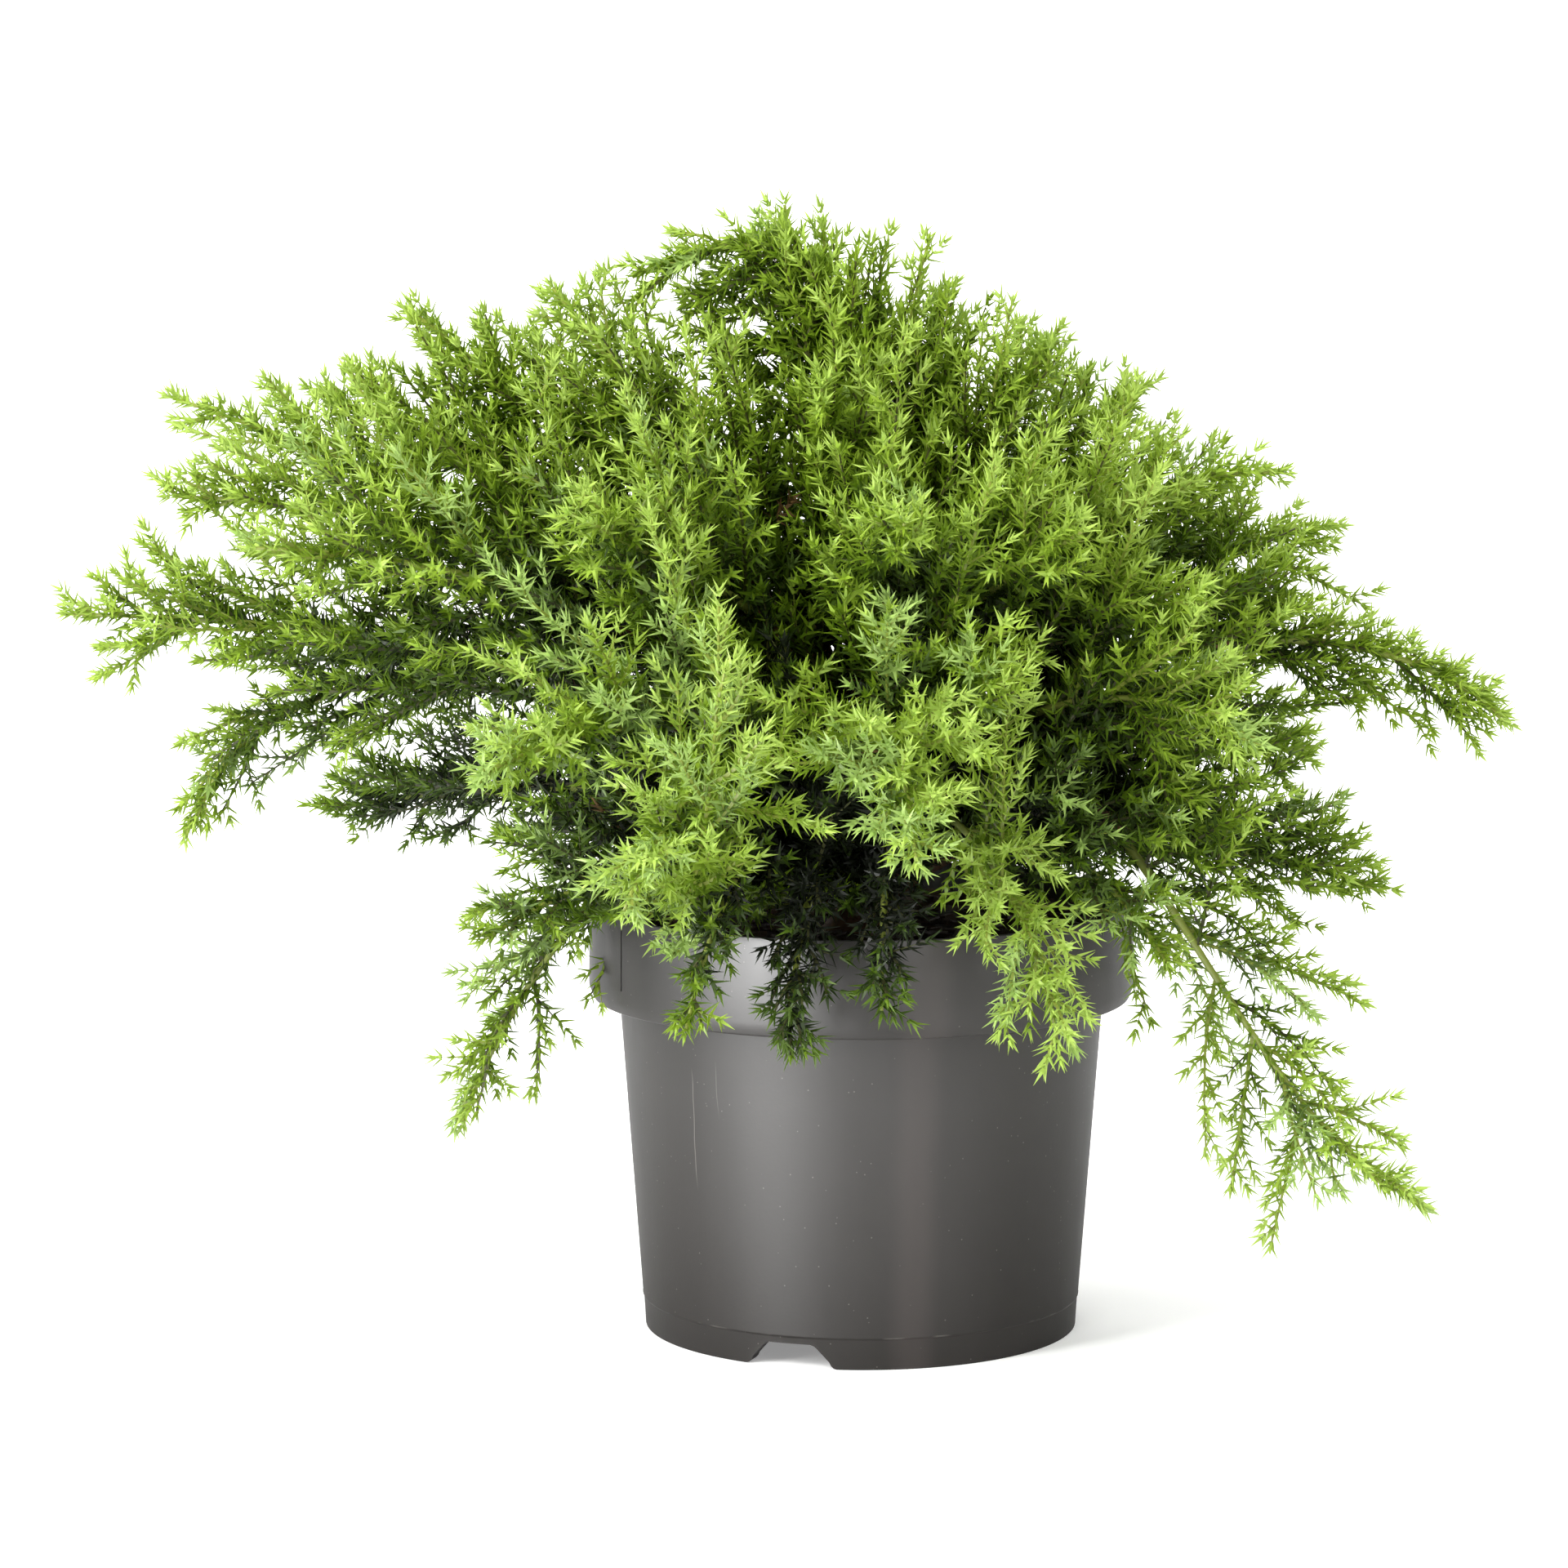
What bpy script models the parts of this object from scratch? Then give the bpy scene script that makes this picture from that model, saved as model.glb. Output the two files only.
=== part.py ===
# Potted spreading juniper, built in metres with +Z up. The origin is the middle of the pot's flat underside,
# and the plant is seen from -Y. A nursery pot holds a plug of soil, a short trunk stands on it, tapering
# boughs leave the trunk all round, and each limb goes on as one mass of needle sprays.
import math
import random
from collections import namedtuple

import bmesh
import bpy
from mathutils import Quaternion, Vector
from mathutils.bvhtree import BVHTree

MM = 0.001
GAP = 0.3 * MM  # clear space between pieces that touch on the real plant

# Pot: a 19 cm container with a tall collar, a thin wall and pockets cut into its foot
POT_HEIGHT = 150 * MM
POT_SIDES = 44
COLLAR_RADIUS = 95 * MM
COLLAR_LIP_RADIUS = 93.5 * MM
COLLAR_LIP_HEIGHT = 116 * MM
BODY_TOP_RADIUS = 84.4 * MM
BODY_LOW_RADIUS = 76.5 * MM
FOOT_BAND_HEIGHT = 11 * MM
FOOT_RADIUS = 75.5 * MM
WALL = 1.8 * MM
FLOOR_TOP = 12 * MM
POCKET_COUNT = 3
POCKET_TURN = -108.5  # degrees, the pocket that faces the viewer
POCKET_HEIGHT = 8.5 * MM
POCKET_DEPTH = 9 * MM
POCKET_MOUTH_LOW = 28 * MM
POCKET_MOUTH_HIGH = 18 * MM

# Soil plug
SOIL_TOP = 138 * MM
SOIL_EDGE_DROP = 2 * MM
SOIL_SIDES = 24

# Trunk: short, hidden in the crown, flared at the soil
TRUNK_FOOT = SOIL_TOP + GAP
TRUNK_TOP = 226 * MM
TRUNK_SIDES = 8
TRUNK_FLARE_RADIUS = 14.5 * MM
TRUNK_RADIUS = 9.5 * MM
TRUNK_TOP_RADIUS = 5 * MM
TRUNK_FLARE_HEIGHT = 12 * MM
TRUNK_LEAN = Vector((3 * MM, -2 * MM, 0))

# Limbs
BOUGH_SIDES = 5
BOUGH_RINGS = 6
BOUGH_ROOT_RADIUS = 3.6 * MM
BOUGH_TIP_RADIUS = 2.4 * MM
STEM_TIP_RADIUS = 1.1 * MM
STEM_RINGS = 6
DIRECT_ROOT_RADIUS = 2.6 * MM
DIRECT_START = 0.14  # where the shoots start on a limb with no bough
ROOT_HANDLE = 0.42  # how far a limb keeps its first direction, as a share of its straight length

# Sprays of needles: each side shoot stands for a whole spray, and each of its blades for a twig of it
SHOOT_SPACING = 19 * MM
SHOOT_ANGLE = 40  # degrees off the stem
SHOOT_LENGTH = 74 * MM
SHOOT_SHORTEST = 20 * MM
SHOOT_CORE = 2.6 * MM
SHOOT_NECK = 7 * MM  # from the stem's middle to the first full ring of a shoot
SHOOT_SEAT = 3.4 * MM  # the length of stem that a shoot grows out of
BLADE_LOW = 24 * MM  # length of the blades at a shoot's foot, and of those at its tip
BLADE_HIGH = 9 * MM
BLADE_PITCH = 8 * MM
BLADE_ANGLE = 42  # degrees off the shoot
THIRD = math.radians(120)  # the rings have three corners
TIP_LENGTH = 34 * MM  # the last stretch of a stem, which carries blades itself
TIP_BLADE = 15 * MM
CLEARANCE = 0.5 * MM
CROWN_TOP = 395 * MM  # side shoots stay below the tip of the highest limb
DETOURS = ((0, 1.0), (24, 0.9), (-24, 0.9), (48, 0.8), (-48, 0.8), (0, 0.6), (80, 0.6), (-80, 0.6))

# A limb's azimuth is seen from above in degrees, with 0 on +X and 270 toward the viewer. reach and height
# place its tip in mm. rise and dip are the slopes of its first and last stretch in degrees, leaves is the
# height in mm where it leaves the trunk, bare is the share of it that is bough, and swing turns its first
# stretch away from the tip's azimuth. ease is how early it takes its last direction, as a share of its
# straight length.
Limb = namedtuple("Limb", "name azimuth reach height rise dip leaves bare swing ease", defaults=(0.0, 0.34))

LIMBS = [
    Limb("left_reach", 184, 274, 251, 28, 2, 186, 0.26),
    Limb("left_high", 172, 247, 323, 37, 18, 201, 0.26, -10),
    Limb("left_mid", 193, 240, 294, 40, 2, 196, 0.0, 14),
    Limb("left_inner", 205, 222, 280, 42, 4, 190, 0.0),
    Limb("left_droop", 171, 241, 170, 42, -72, 177, 0.28, -14),
    Limb("left_back_low", 151, 226, 166, 16, -12, 166, 0.0),
    Limb("left_hang", 206, 150, 82, 36, -70, 168, 0.0, -12),
    Limb("left_skirt", 222, 168, 152, 18, -24, 158, 0.0, 8),
    Limb("left_top", 165, 204, 325, 48, 22, 208, 0.0, 24),
    Limb("top_left", 167, 166, 354, 57, 36, 215, 0.0, -4),
    Limb("top_left_inner", 190, 108, 364, 68, 54, 220, 0.0),
    Limb("top_peak", 165, 28, 392, 84, 84, 226, 0.0, 60),
    Limb("top_arch", 182, 82, 364, 78, -28, 219, 0.0, -61, 0.69),
    Limb("top_back", 100, 90, 358, 74, 50, 214, 0.0, -12),
    Limb("top_right_inner", 52, 48, 361, 78, 66, 222, 0.0),
    Limb("top_right", 346, 70, 350, 72, 54, 220, 0.0, 6),
    Limb("top_front", 258, 66, 332, 74, 48, 221, 0.0),
    Limb("right_high", 30, 117, 326, 60, 22, 212, 0.0),
    Limb("right_upper", 352, 147, 300, 55, -4, 204, 0.0, -10),
    Limb("right_mid", 22, 186, 275, 43, 4, 200, 0.26),
    Limb("right_reach", 1, 226, 211, 40, -42, 186, 0.28, 4),
    Limb("right_low", 10, 187, 150, 20, -12, 166, 0.0),
    Limb("right_back_low", 38, 214, 182, 24, -20, 178, 0.0),
    Limb("right_arch", 322, 164, 214, 44, -34, 179, 0.26),
    Limb("right_hang", 327, 220, 67, 42, -15, 193, 0.40, 13),
    Limb("front_right_up", 322, 146, 262, 50, 4, 200, 0.0),
    Limb("front_right_hang", 293, 164, 120, 38, -72, 172, 0.0, -2),
    Limb("front_right_low", 314, 146, 142, 32, -54, 164, 0.0),
    Limb("front_up_right", 302, 136, 288, 56, 24, 207, 0.0, 6),
    Limb("front_up", 276, 132, 292, 62, 26, 211, 0.0, -2),
    Limb("front_inner", 286, 150, 240, 50, -6, 199, 0.0),
    Limb("front_centre", 248, 200, 172, 36, -44, 178, 0.0),
    Limb("front_mid", 275, 198, 190, 38, -34, 190, 0.0),
    Limb("front_left_up", 232, 154, 294, 54, 24, 206, 0.0),
    Limb("front_left", 234, 206, 214, 32, -12, 184, 0.28, -4),
    Limb("front_upright", 257, 197, 275, 6, 86, 149, 0.0, -45, 0.58),
    Limb("rim_hang", 259, 124, 118, 54, -84, 164, 0.0),
    Limb("low_front", 268, 88, 163, 40, -16, 153, 0.0),
    Limb("low_front_left", 238, 116, 172, 36, -20, 150, 0.0, 10),
    Limb("low_front_right", 306, 124, 178, 40, -20, 154, 0.0),
    Limb("low_right", 346, 130, 178, 38, -16, 152, 0.0),
    Limb("rim_hang_left", 249, 158, 128, 40, -58, 169, 0.0, -8),
    Limb("rim_hang_right", 273, 128, 131, 44, -66, 160, 0.0, 12),
    Limb("back_high", 92, 172, 312, 52, 14, 204, 0.0),
    Limb("back_low_left", 130, 166, 160, 26, -14, 169, 0.0),
    Limb("back_low_right", 66, 166, 164, 26, -14, 167, 0.0),
    Limb("back_left", 124, 210, 250, 36, 0, 194, 0.0),
    Limb("back_right", 64, 208, 244, 38, -8, 196, 0.0),
    Limb("back_low", 96, 196, 156, 18, -24, 170, 0.0),
]


def make_material(name, color, roughness, specular=0.5):
    material = bpy.data.materials.new(name)
    material.use_nodes = True
    shader = material.node_tree.nodes["Principled BSDF"]
    shader.inputs["Base Color"].default_value = (*color, 1.0)
    shader.inputs["Roughness"].default_value = roughness
    shader.inputs["Metallic"].default_value = 0.0
    shader.inputs["Specular IOR Level"].default_value = specular
    material.diffuse_color = (*color, 1.0)
    return material


def add_object(name, vertices, faces, material, collection=None):
    mesh = bpy.data.meshes.new(name)
    mesh.from_pydata([tuple(v) for v in vertices], [], faces)
    mesh.materials.append(material)
    mesh.validate()
    obj = bpy.data.objects.new(name, mesh)
    (collection or bpy.context.scene.collection).objects.link(obj)
    return obj


def bridge(lower, upper, count):
    # Triangles between two rings whose points follow each other at the same places
    faces = []
    for i in range(count):
        j = (i + 1) % count
        faces.append((lower + i, lower + j, upper + j))
        faces.append((lower + i, upper + j, upper + i))
    return faces


def turned(name, profile, sides, material):
    # A closed solid turned about Z from (radius, height) points, first and last on the axis, bottom first
    vertices = [Vector((0, 0, profile[0][1]))]
    for radius, height in profile[1:-1]:
        for i in range(sides):
            angle = 2 * math.pi * i / sides
            vertices.append(Vector((radius * math.cos(angle), radius * math.sin(angle), height)))
    vertices.append(Vector((0, 0, profile[-1][1])))
    top = len(vertices) - 1
    rings = len(profile) - 2
    faces = [(0, 1 + (i + 1) % sides, 1 + i) for i in range(sides)]
    for ring in range(rings - 1):
        faces += bridge(1 + ring * sides, 1 + (ring + 1) * sides, sides)
    last = 1 + (rings - 1) * sides
    faces += [(last + i, last + (i + 1) % sides, top) for i in range(sides)]
    return add_object(name, vertices, faces, material)


def shade_round(obj, crease=35):
    obj.data.shade_smooth()
    obj.data.set_sharp_from_angle(angle=math.radians(crease))


def pocket_cutter(index, material, collection):
    # A tapered block with the pocket's outline, laid radially through the foot
    angle = math.radians(POCKET_TURN + index * 360 / POCKET_COUNT)
    outward = Vector((math.cos(angle), math.sin(angle), 0))
    across = Vector((-outward.y, outward.x, 0))
    low, high = POCKET_MOUTH_LOW / 2, POCKET_MOUTH_HIGH / 2
    bottom = -2 * MM
    flare = (low - high) / POCKET_HEIGHT * -bottom
    outline = [(-low - flare, bottom), (low + flare, bottom), (high, POCKET_HEIGHT), (-high, POCKET_HEIGHT)]
    vertices = []
    for distance in (FOOT_RADIUS - POCKET_DEPTH, FOOT_RADIUS + 6 * MM):
        vertices += [outward * distance + across * x + Vector((0, 0, z)) for x, z in outline]
    faces = [(3, 2, 1, 0), (4, 5, 6, 7)]
    faces += [(i, (i + 1) % 4, 4 + (i + 1) % 4, 4 + i) for i in range(4)]
    return add_object(f"pocket_{index}", vertices, faces, material, collection)


def build_pot(material):
    inner_low = BODY_LOW_RADIUS - WALL
    profile = [
        (0, 0),
        (FOOT_RADIUS, 0),
        (BODY_LOW_RADIUS - 0.3 * MM, FOOT_BAND_HEIGHT),
        (BODY_LOW_RADIUS, FOOT_BAND_HEIGHT + 1 * MM),
        (BODY_TOP_RADIUS, COLLAR_LIP_HEIGHT + 1.5 * MM),
        (COLLAR_LIP_RADIUS, COLLAR_LIP_HEIGHT),
        (COLLAR_RADIUS, COLLAR_LIP_HEIGHT + 3 * MM),
        (COLLAR_RADIUS, POT_HEIGHT - 1 * MM),
        (COLLAR_RADIUS - 0.7 * MM, POT_HEIGHT),
        (COLLAR_RADIUS - WALL, POT_HEIGHT),
        (COLLAR_RADIUS - WALL, COLLAR_LIP_HEIGHT + 4 * MM),
        (BODY_TOP_RADIUS - WALL, COLLAR_LIP_HEIGHT + 1.5 * MM),
        (inner_low, FLOOR_TOP),
        (0, FLOOR_TOP),
    ]
    pot = turned("pot", profile, POT_SIDES, material)
    pockets = new_collection("pockets")
    for i in range(POCKET_COUNT):
        pocket_cutter(i, material, pockets)
    cut_pockets(pot, pockets)
    shade_round(pot)
    return pot


def build_soil(material):
    collar_inner = COLLAR_RADIUS - WALL - GAP
    body_inner = BODY_TOP_RADIUS - WALL - GAP
    profile = [
        (0, FLOOR_TOP + GAP),
        (BODY_LOW_RADIUS - WALL - GAP, FLOOR_TOP + GAP),
        (body_inner, COLLAR_LIP_HEIGHT + 1.5 * MM),
        (collar_inner - 0.2 * MM, COLLAR_LIP_HEIGHT + 4.5 * MM),
        (collar_inner, SOIL_TOP - SOIL_EDGE_DROP),
        (collar_inner * 0.8, SOIL_TOP),
        (0, SOIL_TOP),
    ]
    soil = turned("soil", profile, SOIL_SIDES, material)
    shade_round(soil)
    return soil


def trunk_axis(height):
    # The trunk's middle at a height, leaning a little more the higher it is
    share = (height - TRUNK_FOOT) / (TRUNK_TOP - TRUNK_FOOT)
    return Vector((0, 0, height)) + TRUNK_LEAN * share ** 1.4 if share > 0 else Vector((0, 0, height))


def trunk_radius(height):
    share = max(0.0, (height - TRUNK_FOOT) / (TRUNK_TOP - TRUNK_FOOT))
    flare = max(0.0, 1 - (height - TRUNK_FOOT) / TRUNK_FLARE_HEIGHT)
    straight = TRUNK_RADIUS + (TRUNK_TOP_RADIUS - TRUNK_RADIUS) * share
    return straight + (TRUNK_FLARE_RADIUS - TRUNK_RADIUS) * flare ** 2


def ring_points(centre, tangent, side, radius, sides, turn):
    # One ring square to the tangent; side fixes where its first point lies
    across = (side - tangent * side.dot(tangent)).normalized()
    third = tangent.cross(across)
    points = []
    for i in range(sides):
        angle = 2 * math.pi * i / sides + turn
        points.append(centre + across * (radius * math.cos(angle)) + third * (radius * math.sin(angle)))
    return points


def skin(rings, sides, tip=None):
    # The points and faces of a closed solid through rings, flat at the root, pointed if a tip is given
    vertices = [point for ring in rings for point in ring]
    faces = [tuple(reversed(range(sides)))]
    for ring in range(len(rings) - 1):
        faces += bridge(ring * sides, (ring + 1) * sides, sides)
    last = (len(rings) - 1) * sides
    if tip is None:
        faces.append(tuple(range(last, last + sides)))
    else:
        vertices.append(tip)
        faces += [(last + i, last + (i + 1) % sides, len(vertices) - 1) for i in range(sides)]
    return vertices, faces


def build_trunk(material):
    heights = [0, 3 * MM, 7 * MM, TRUNK_FLARE_HEIGHT, 30 * MM, 50 * MM, 70 * MM]
    heights = [TRUNK_FOOT + h for h in heights] + [TRUNK_TOP]
    rings = []
    for height in heights:
        centre, radius = trunk_axis(height), trunk_radius(height)
        rings.append(ring_points(centre, Vector((0, 0, 1)), Vector((1, 0, 0)), radius, TRUNK_SIDES, 0))
    trunk = add_object("trunk", *skin(rings, TRUNK_SIDES), material)
    shade_round(trunk, 50)
    return trunk


def heading(azimuth, slope):
    turn, rise = math.radians(azimuth), math.radians(slope)
    return Vector((math.cos(turn) * math.cos(rise), math.sin(turn) * math.cos(rise), math.sin(rise)))


class Path:
    # The curve of one limb from the trunk to its tip, and its radius on the way
    def __init__(self, limb):
        self.limb = limb
        self.root_radius = BOUGH_ROOT_RADIUS if limb.bare else DIRECT_ROOT_RADIUS
        first = heading(limb.azimuth + limb.swing, limb.rise)
        level = heading(limb.azimuth + limb.swing, 0)
        foot = limb.leaves * MM
        tilt = math.radians(limb.rise)
        if foot < TRUNK_TOP:
            away = trunk_radius(foot - self.root_radius) + GAP + self.root_radius * math.sin(tilt)
            start = trunk_axis(foot) + level * away
        else:
            start = trunk_axis(TRUNK_TOP) + Vector((0, 0, GAP + self.root_radius * math.cos(tilt)))
        end = heading(limb.azimuth, 0) * (limb.reach * MM) + Vector((0, 0, limb.height * MM))
        straight = (end - start).length
        last = heading(limb.azimuth, limb.dip)
        self.handles = [start, start + first * straight * ROOT_HANDLE, end - last * straight * limb.ease, end]
        self.side = Vector((-level.y, level.x, 0))
        self.length = straight * 1.06

    def point(self, s):
        a, b, c, d = self.handles
        r = 1 - s
        return a * r ** 3 + b * (3 * r * r * s) + c * (3 * r * s * s) + d * s ** 3

    def tangent(self, s):
        a, b, c, d = self.handles
        r = 1 - s
        return ((b - a) * (r * r) + (c - b) * (2 * r * s) + (d - c) * (s * s)).normalized()

    def radius(self, s):
        bare = self.limb.bare
        if s < bare:
            return self.root_radius + (BOUGH_TIP_RADIUS - self.root_radius) * s / bare
        first = BOUGH_TIP_RADIUS if bare else self.root_radius
        return first + (STEM_TIP_RADIUS - first) * (s - bare) / (1 - bare)


def build_bough(path, material):
    rings = []
    for i in range(BOUGH_RINGS):
        s = path.limb.bare * i / (BOUGH_RINGS - 1)
        rings.append(ring_points(path.point(s), path.tangent(s), path.side, path.radius(s), BOUGH_SIDES, 0))
    bough = add_object(f"bough_{path.limb.name}", *skin(rings, BOUGH_SIDES), material)
    shade_round(bough, 80)
    return bough


def bladed_rings(path, side, first, low, turn, spare=0.0):
    # Three-cornered rings round a slim core. From the second ring on, one corner in turn is drawn out and
    # forward into a blade, so the blades stand round the shoot in a spiral.
    count = max(3, round(path.length * (1 - first) / BLADE_PITCH))
    angle = math.radians(BLADE_ANGLE)
    rings = []
    for i in range(count):
        u = first + (1 - first) * i / (count + 0.7)
        centre, tangent = path.point(u), path.tangent(u)
        points = ring_points(centre, tangent, side, SHOOT_CORE * (1 - 0.45 * i / count) + spare, 3, turn)
        if i:
            corner = ((0, 2, 1)[i % 3] - round(turn / THIRD)) % 3
            outward = (points[corner] - centre).normalized()
            blade = min(low, path.length * 0.36) * (1 - i / count) + BLADE_HIGH * i / count + spare
            points[corner] = centre + (outward * math.sin(angle) + tangent * math.cos(angle)) * blade
        rings.append(points)
    return rings


class Shoot:
    # One side shoot: the place and the way it leaves its stem, how it curves, its length, and its outer side
    def __init__(self, path, s, roll, bend, length):
        tangent = path.tangent(s)
        across = (path.side - tangent * path.side.dot(tangent)).normalized()
        outward = across * math.cos(roll) + tangent.cross(across) * math.sin(roll)
        angle = math.radians(SHOOT_ANGLE)
        self.s, self.roll = s, roll
        self.root = path.point(s)
        self.direction = tangent * math.cos(angle) + outward * math.sin(angle)
        self.outer = outward * math.cos(angle) - tangent * math.sin(angle)
        self.bend = tangent * 0.2 - outward * 0.12 + bend
        self.length = length

    def point(self, u):
        return self.root + self.direction * (self.length * u) + self.bend * (self.length * u * u)

    def tangent(self, u):
        return (self.direction + self.bend * (2 * u)).normalized()

    def rings(self, spare=0.0):
        return bladed_rings(self, self.outer, SHOOT_NECK / self.length, BLADE_LOW, 0.0, spare)


def stem_start(path):
    return path.limb.bare + GAP / path.length if path.limb.bare else 0.0


def stem_skin(path, corner=2.0):
    # The mass's stem without its shoots, for telling which places are taken. With its corners at twice the
    # radius, its three sides lie outside of the stem, whichever way that is turned.
    tip = 1 - TIP_LENGTH / path.length
    rings = []
    for i in range(STEM_RINGS):
        s = stem_start(path) + (tip - stem_start(path)) * i / STEM_RINGS
        radius = path.radius(s) * corner + CLEARANCE
        rings.append(ring_points(path.point(s), path.tangent(s), path.side, radius, 3, 0))
    rings += bladed_rings(path, path.side, tip, TIP_BLADE, 0.0, CLEARANCE)
    return skin(rings, 3, path.point(1))


def least_turn(change):
    # The same ring of three corners, turned by 90 degrees back to 30 forward, so that no two faces meet
    return (change + math.pi / 2) % THIRD - math.pi / 2


def mass_skin(path, shoots):
    # The stem and its shoots as one closed skin. The stem has two rings at every shoot, turned so that one of
    # the three faces between them looks the shoot's way. That face is left open and the shoot's skin goes on
    # from its corners.
    vertices, faces = [], []

    def add_ring(points):
        vertices.extend(points)
        return len(vertices) - len(points)

    def add_tip(ring, point):
        vertices.append(point)
        faces.extend((ring + i, ring + (i + 1) % 3, len(vertices) - 1) for i in range(3))

    def stem_ring(s, turn):
        return add_ring(ring_points(path.point(s), path.tangent(s), path.side, path.radius(s), 3, turn))

    turn = 0.0
    last = stem_ring(stem_start(path), turn)
    faces.append((last + 2, last + 1, last))
    seat = SHOOT_SEAT / 2 / path.length
    for shoot in shoots:
        facing = shoot.roll - THIRD / 2
        turn += least_turn(facing - turn)
        open_face = round((facing - turn) / THIRD) % 3
        lower = stem_ring(shoot.s - seat, turn)
        faces += bridge(last, lower, 3)
        upper = stem_ring(shoot.s + seat, turn)
        walls = bridge(lower, upper, 3)
        faces += walls[:2 * open_face] + walls[2 * open_face + 2:]
        j = (open_face + 1) % 3
        a, b, c, d = lower + open_face, lower + j, upper + j, upper + open_face
        rings = [add_ring(points) for points in shoot.rings()]
        p = rings[0]
        faces += [(a, b, p), (b, c, p + 1), (b, p + 1, p), (c, d, p + 2), (c, p + 2, p + 1), (d, a, p)]
        faces.append((d, p, p + 2))
        for inner, outer in zip(rings, rings[1:]):
            faces += bridge(inner, outer, 3)
        add_tip(rings[-1], shoot.point(1))
        last = upper
    tip = 1 - TIP_LENGTH / path.length
    turn += least_turn(-turn)
    for points in bladed_rings(path, path.side, tip, TIP_BLADE, turn):
        ring = add_ring(points)
        faces += bridge(last, ring, 3)
        last = ring
    add_tip(last, path.point(1))
    return vertices, faces


def grow_shoots(path, is_free):
    # The branching rule: shoots leave the stem left and right in turn, every third one from its upper side,
    # longest a little way along and shorter toward the tip. One whose place is taken turns aside or stays
    # shorter, and is skipped where it still finds no room.
    seeded = random.Random(path.limb.name)
    start = stem_start(path) + (0.02 if path.limb.bare else DIRECT_START)
    end = 1 - (TIP_LENGTH + SHOOT_SEAT) / path.length
    count = max(3, round(path.length * (end - start) / SHOOT_SPACING))
    shoots = []
    for i in range(count):
        along = (i + 0.5) / count
        s = start + (end - start) * along
        roll = (18, 162, 90, -12, 192)[i % 5] + seeded.uniform(-14, 14)
        fullness = min(1.0, 0.7 + along * 1.4) * (1 - 0.5 * along ** 1.5) * seeded.uniform(0.9, 1.1)
        lift = Vector((0, 0, 0.08))
        for aside, share in DETOURS:
            length = min(SHOOT_LENGTH * fullness * share, path.length * (1 - s) * 0.95)
            shoot = Shoot(path, s, math.radians(roll + aside), lift, length)
            if length < SHOOT_SHORTEST or shoot.point(1).z > CROWN_TOP:
                continue
            if is_free(skin(shoot.rings(CLEARANCE), 3, shoot.point(1))):
                shoots.append(shoot)
                break
    return shoots


def cut_pockets(pot, pockets):
    # One Boolean with all the cutters, applied, with the cutters then removed
    modifier = pot.modifiers.new("pockets", "BOOLEAN")
    modifier.operation = "DIFFERENCE"
    modifier.solver = "EXACT"
    modifier.operand_type = "COLLECTION"
    modifier.collection = pockets
    depsgraph = bpy.context.evaluated_depsgraph_get()
    applied = bpy.data.meshes.new_from_object(pot.evaluated_get(depsgraph))
    pot.modifiers.clear()
    pot.data = applied
    applied.name = pot.name
    for cutter in list(pockets.objects):
        bpy.data.objects.remove(cutter)
    bpy.data.collections.remove(pockets)
    mesh = bmesh.new()
    mesh.from_mesh(pot.data)
    bmesh.ops.triangulate(mesh, faces=mesh.faces, ngon_method="EAR_CLIP")
    mesh.to_mesh(pot.data)
    mesh.free()


def new_collection(name):
    collection = bpy.data.collections.new(name)
    bpy.context.scene.collection.children.link(collection)
    return collection


def solid_tree(vertices, faces):
    return BVHTree.FromPolygons([tuple(v) for v in vertices], faces)


def mesh_tree(obj):
    return solid_tree([v.co for v in obj.data.vertices], [tuple(p.vertices) for p in obj.data.polygons])


def build_foliage(paths, material):
    # Each mass keeps to its own space: its shoots stay clear of the pot, the limbs, one another and all other
    # masses
    fixed = [mesh_tree(obj) for obj in bpy.data.objects]
    stems = [solid_tree(*stem_skin(path)) for path in paths]
    for i, path in enumerate(paths):
        taken = fixed + stems[:i] + stems[i + 1:] + [solid_tree(*stem_skin(path, 1.2))]

        def is_free(solid):
            tree = solid_tree(*solid)
            free = not any(tree.overlap(other) for other in taken)
            if free:
                taken.append(tree)
            return free

        shoots = grow_shoots(path, is_free)
        mass = add_object(f"foliage_{path.limb.name}", *mass_skin(path, shoots), material)
        fixed.append(mesh_tree(mass))


def main():
    for obj in list(bpy.data.objects):
        bpy.data.objects.remove(obj)
    plastic = make_material("pot_plastic", (0.105, 0.098, 0.094), 0.42)
    peat = make_material("peat_soil", (0.030, 0.018, 0.011), 0.95)
    bark = make_material("juniper_bark", (0.150, 0.078, 0.038), 0.85)
    needles = make_material("juniper_needles", (0.140, 0.215, 0.035), 0.55)
    build_pot(plastic)
    build_soil(peat)
    build_trunk(bark)
    paths = [Path(limb) for limb in LIMBS]
    for path in paths:
        if path.limb.bare:
            build_bough(path, bark)
    build_foliage(paths, needles)


main()
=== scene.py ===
import math

import bpy
import numpy as np
from mathutils import Matrix, Vector, noise


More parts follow.
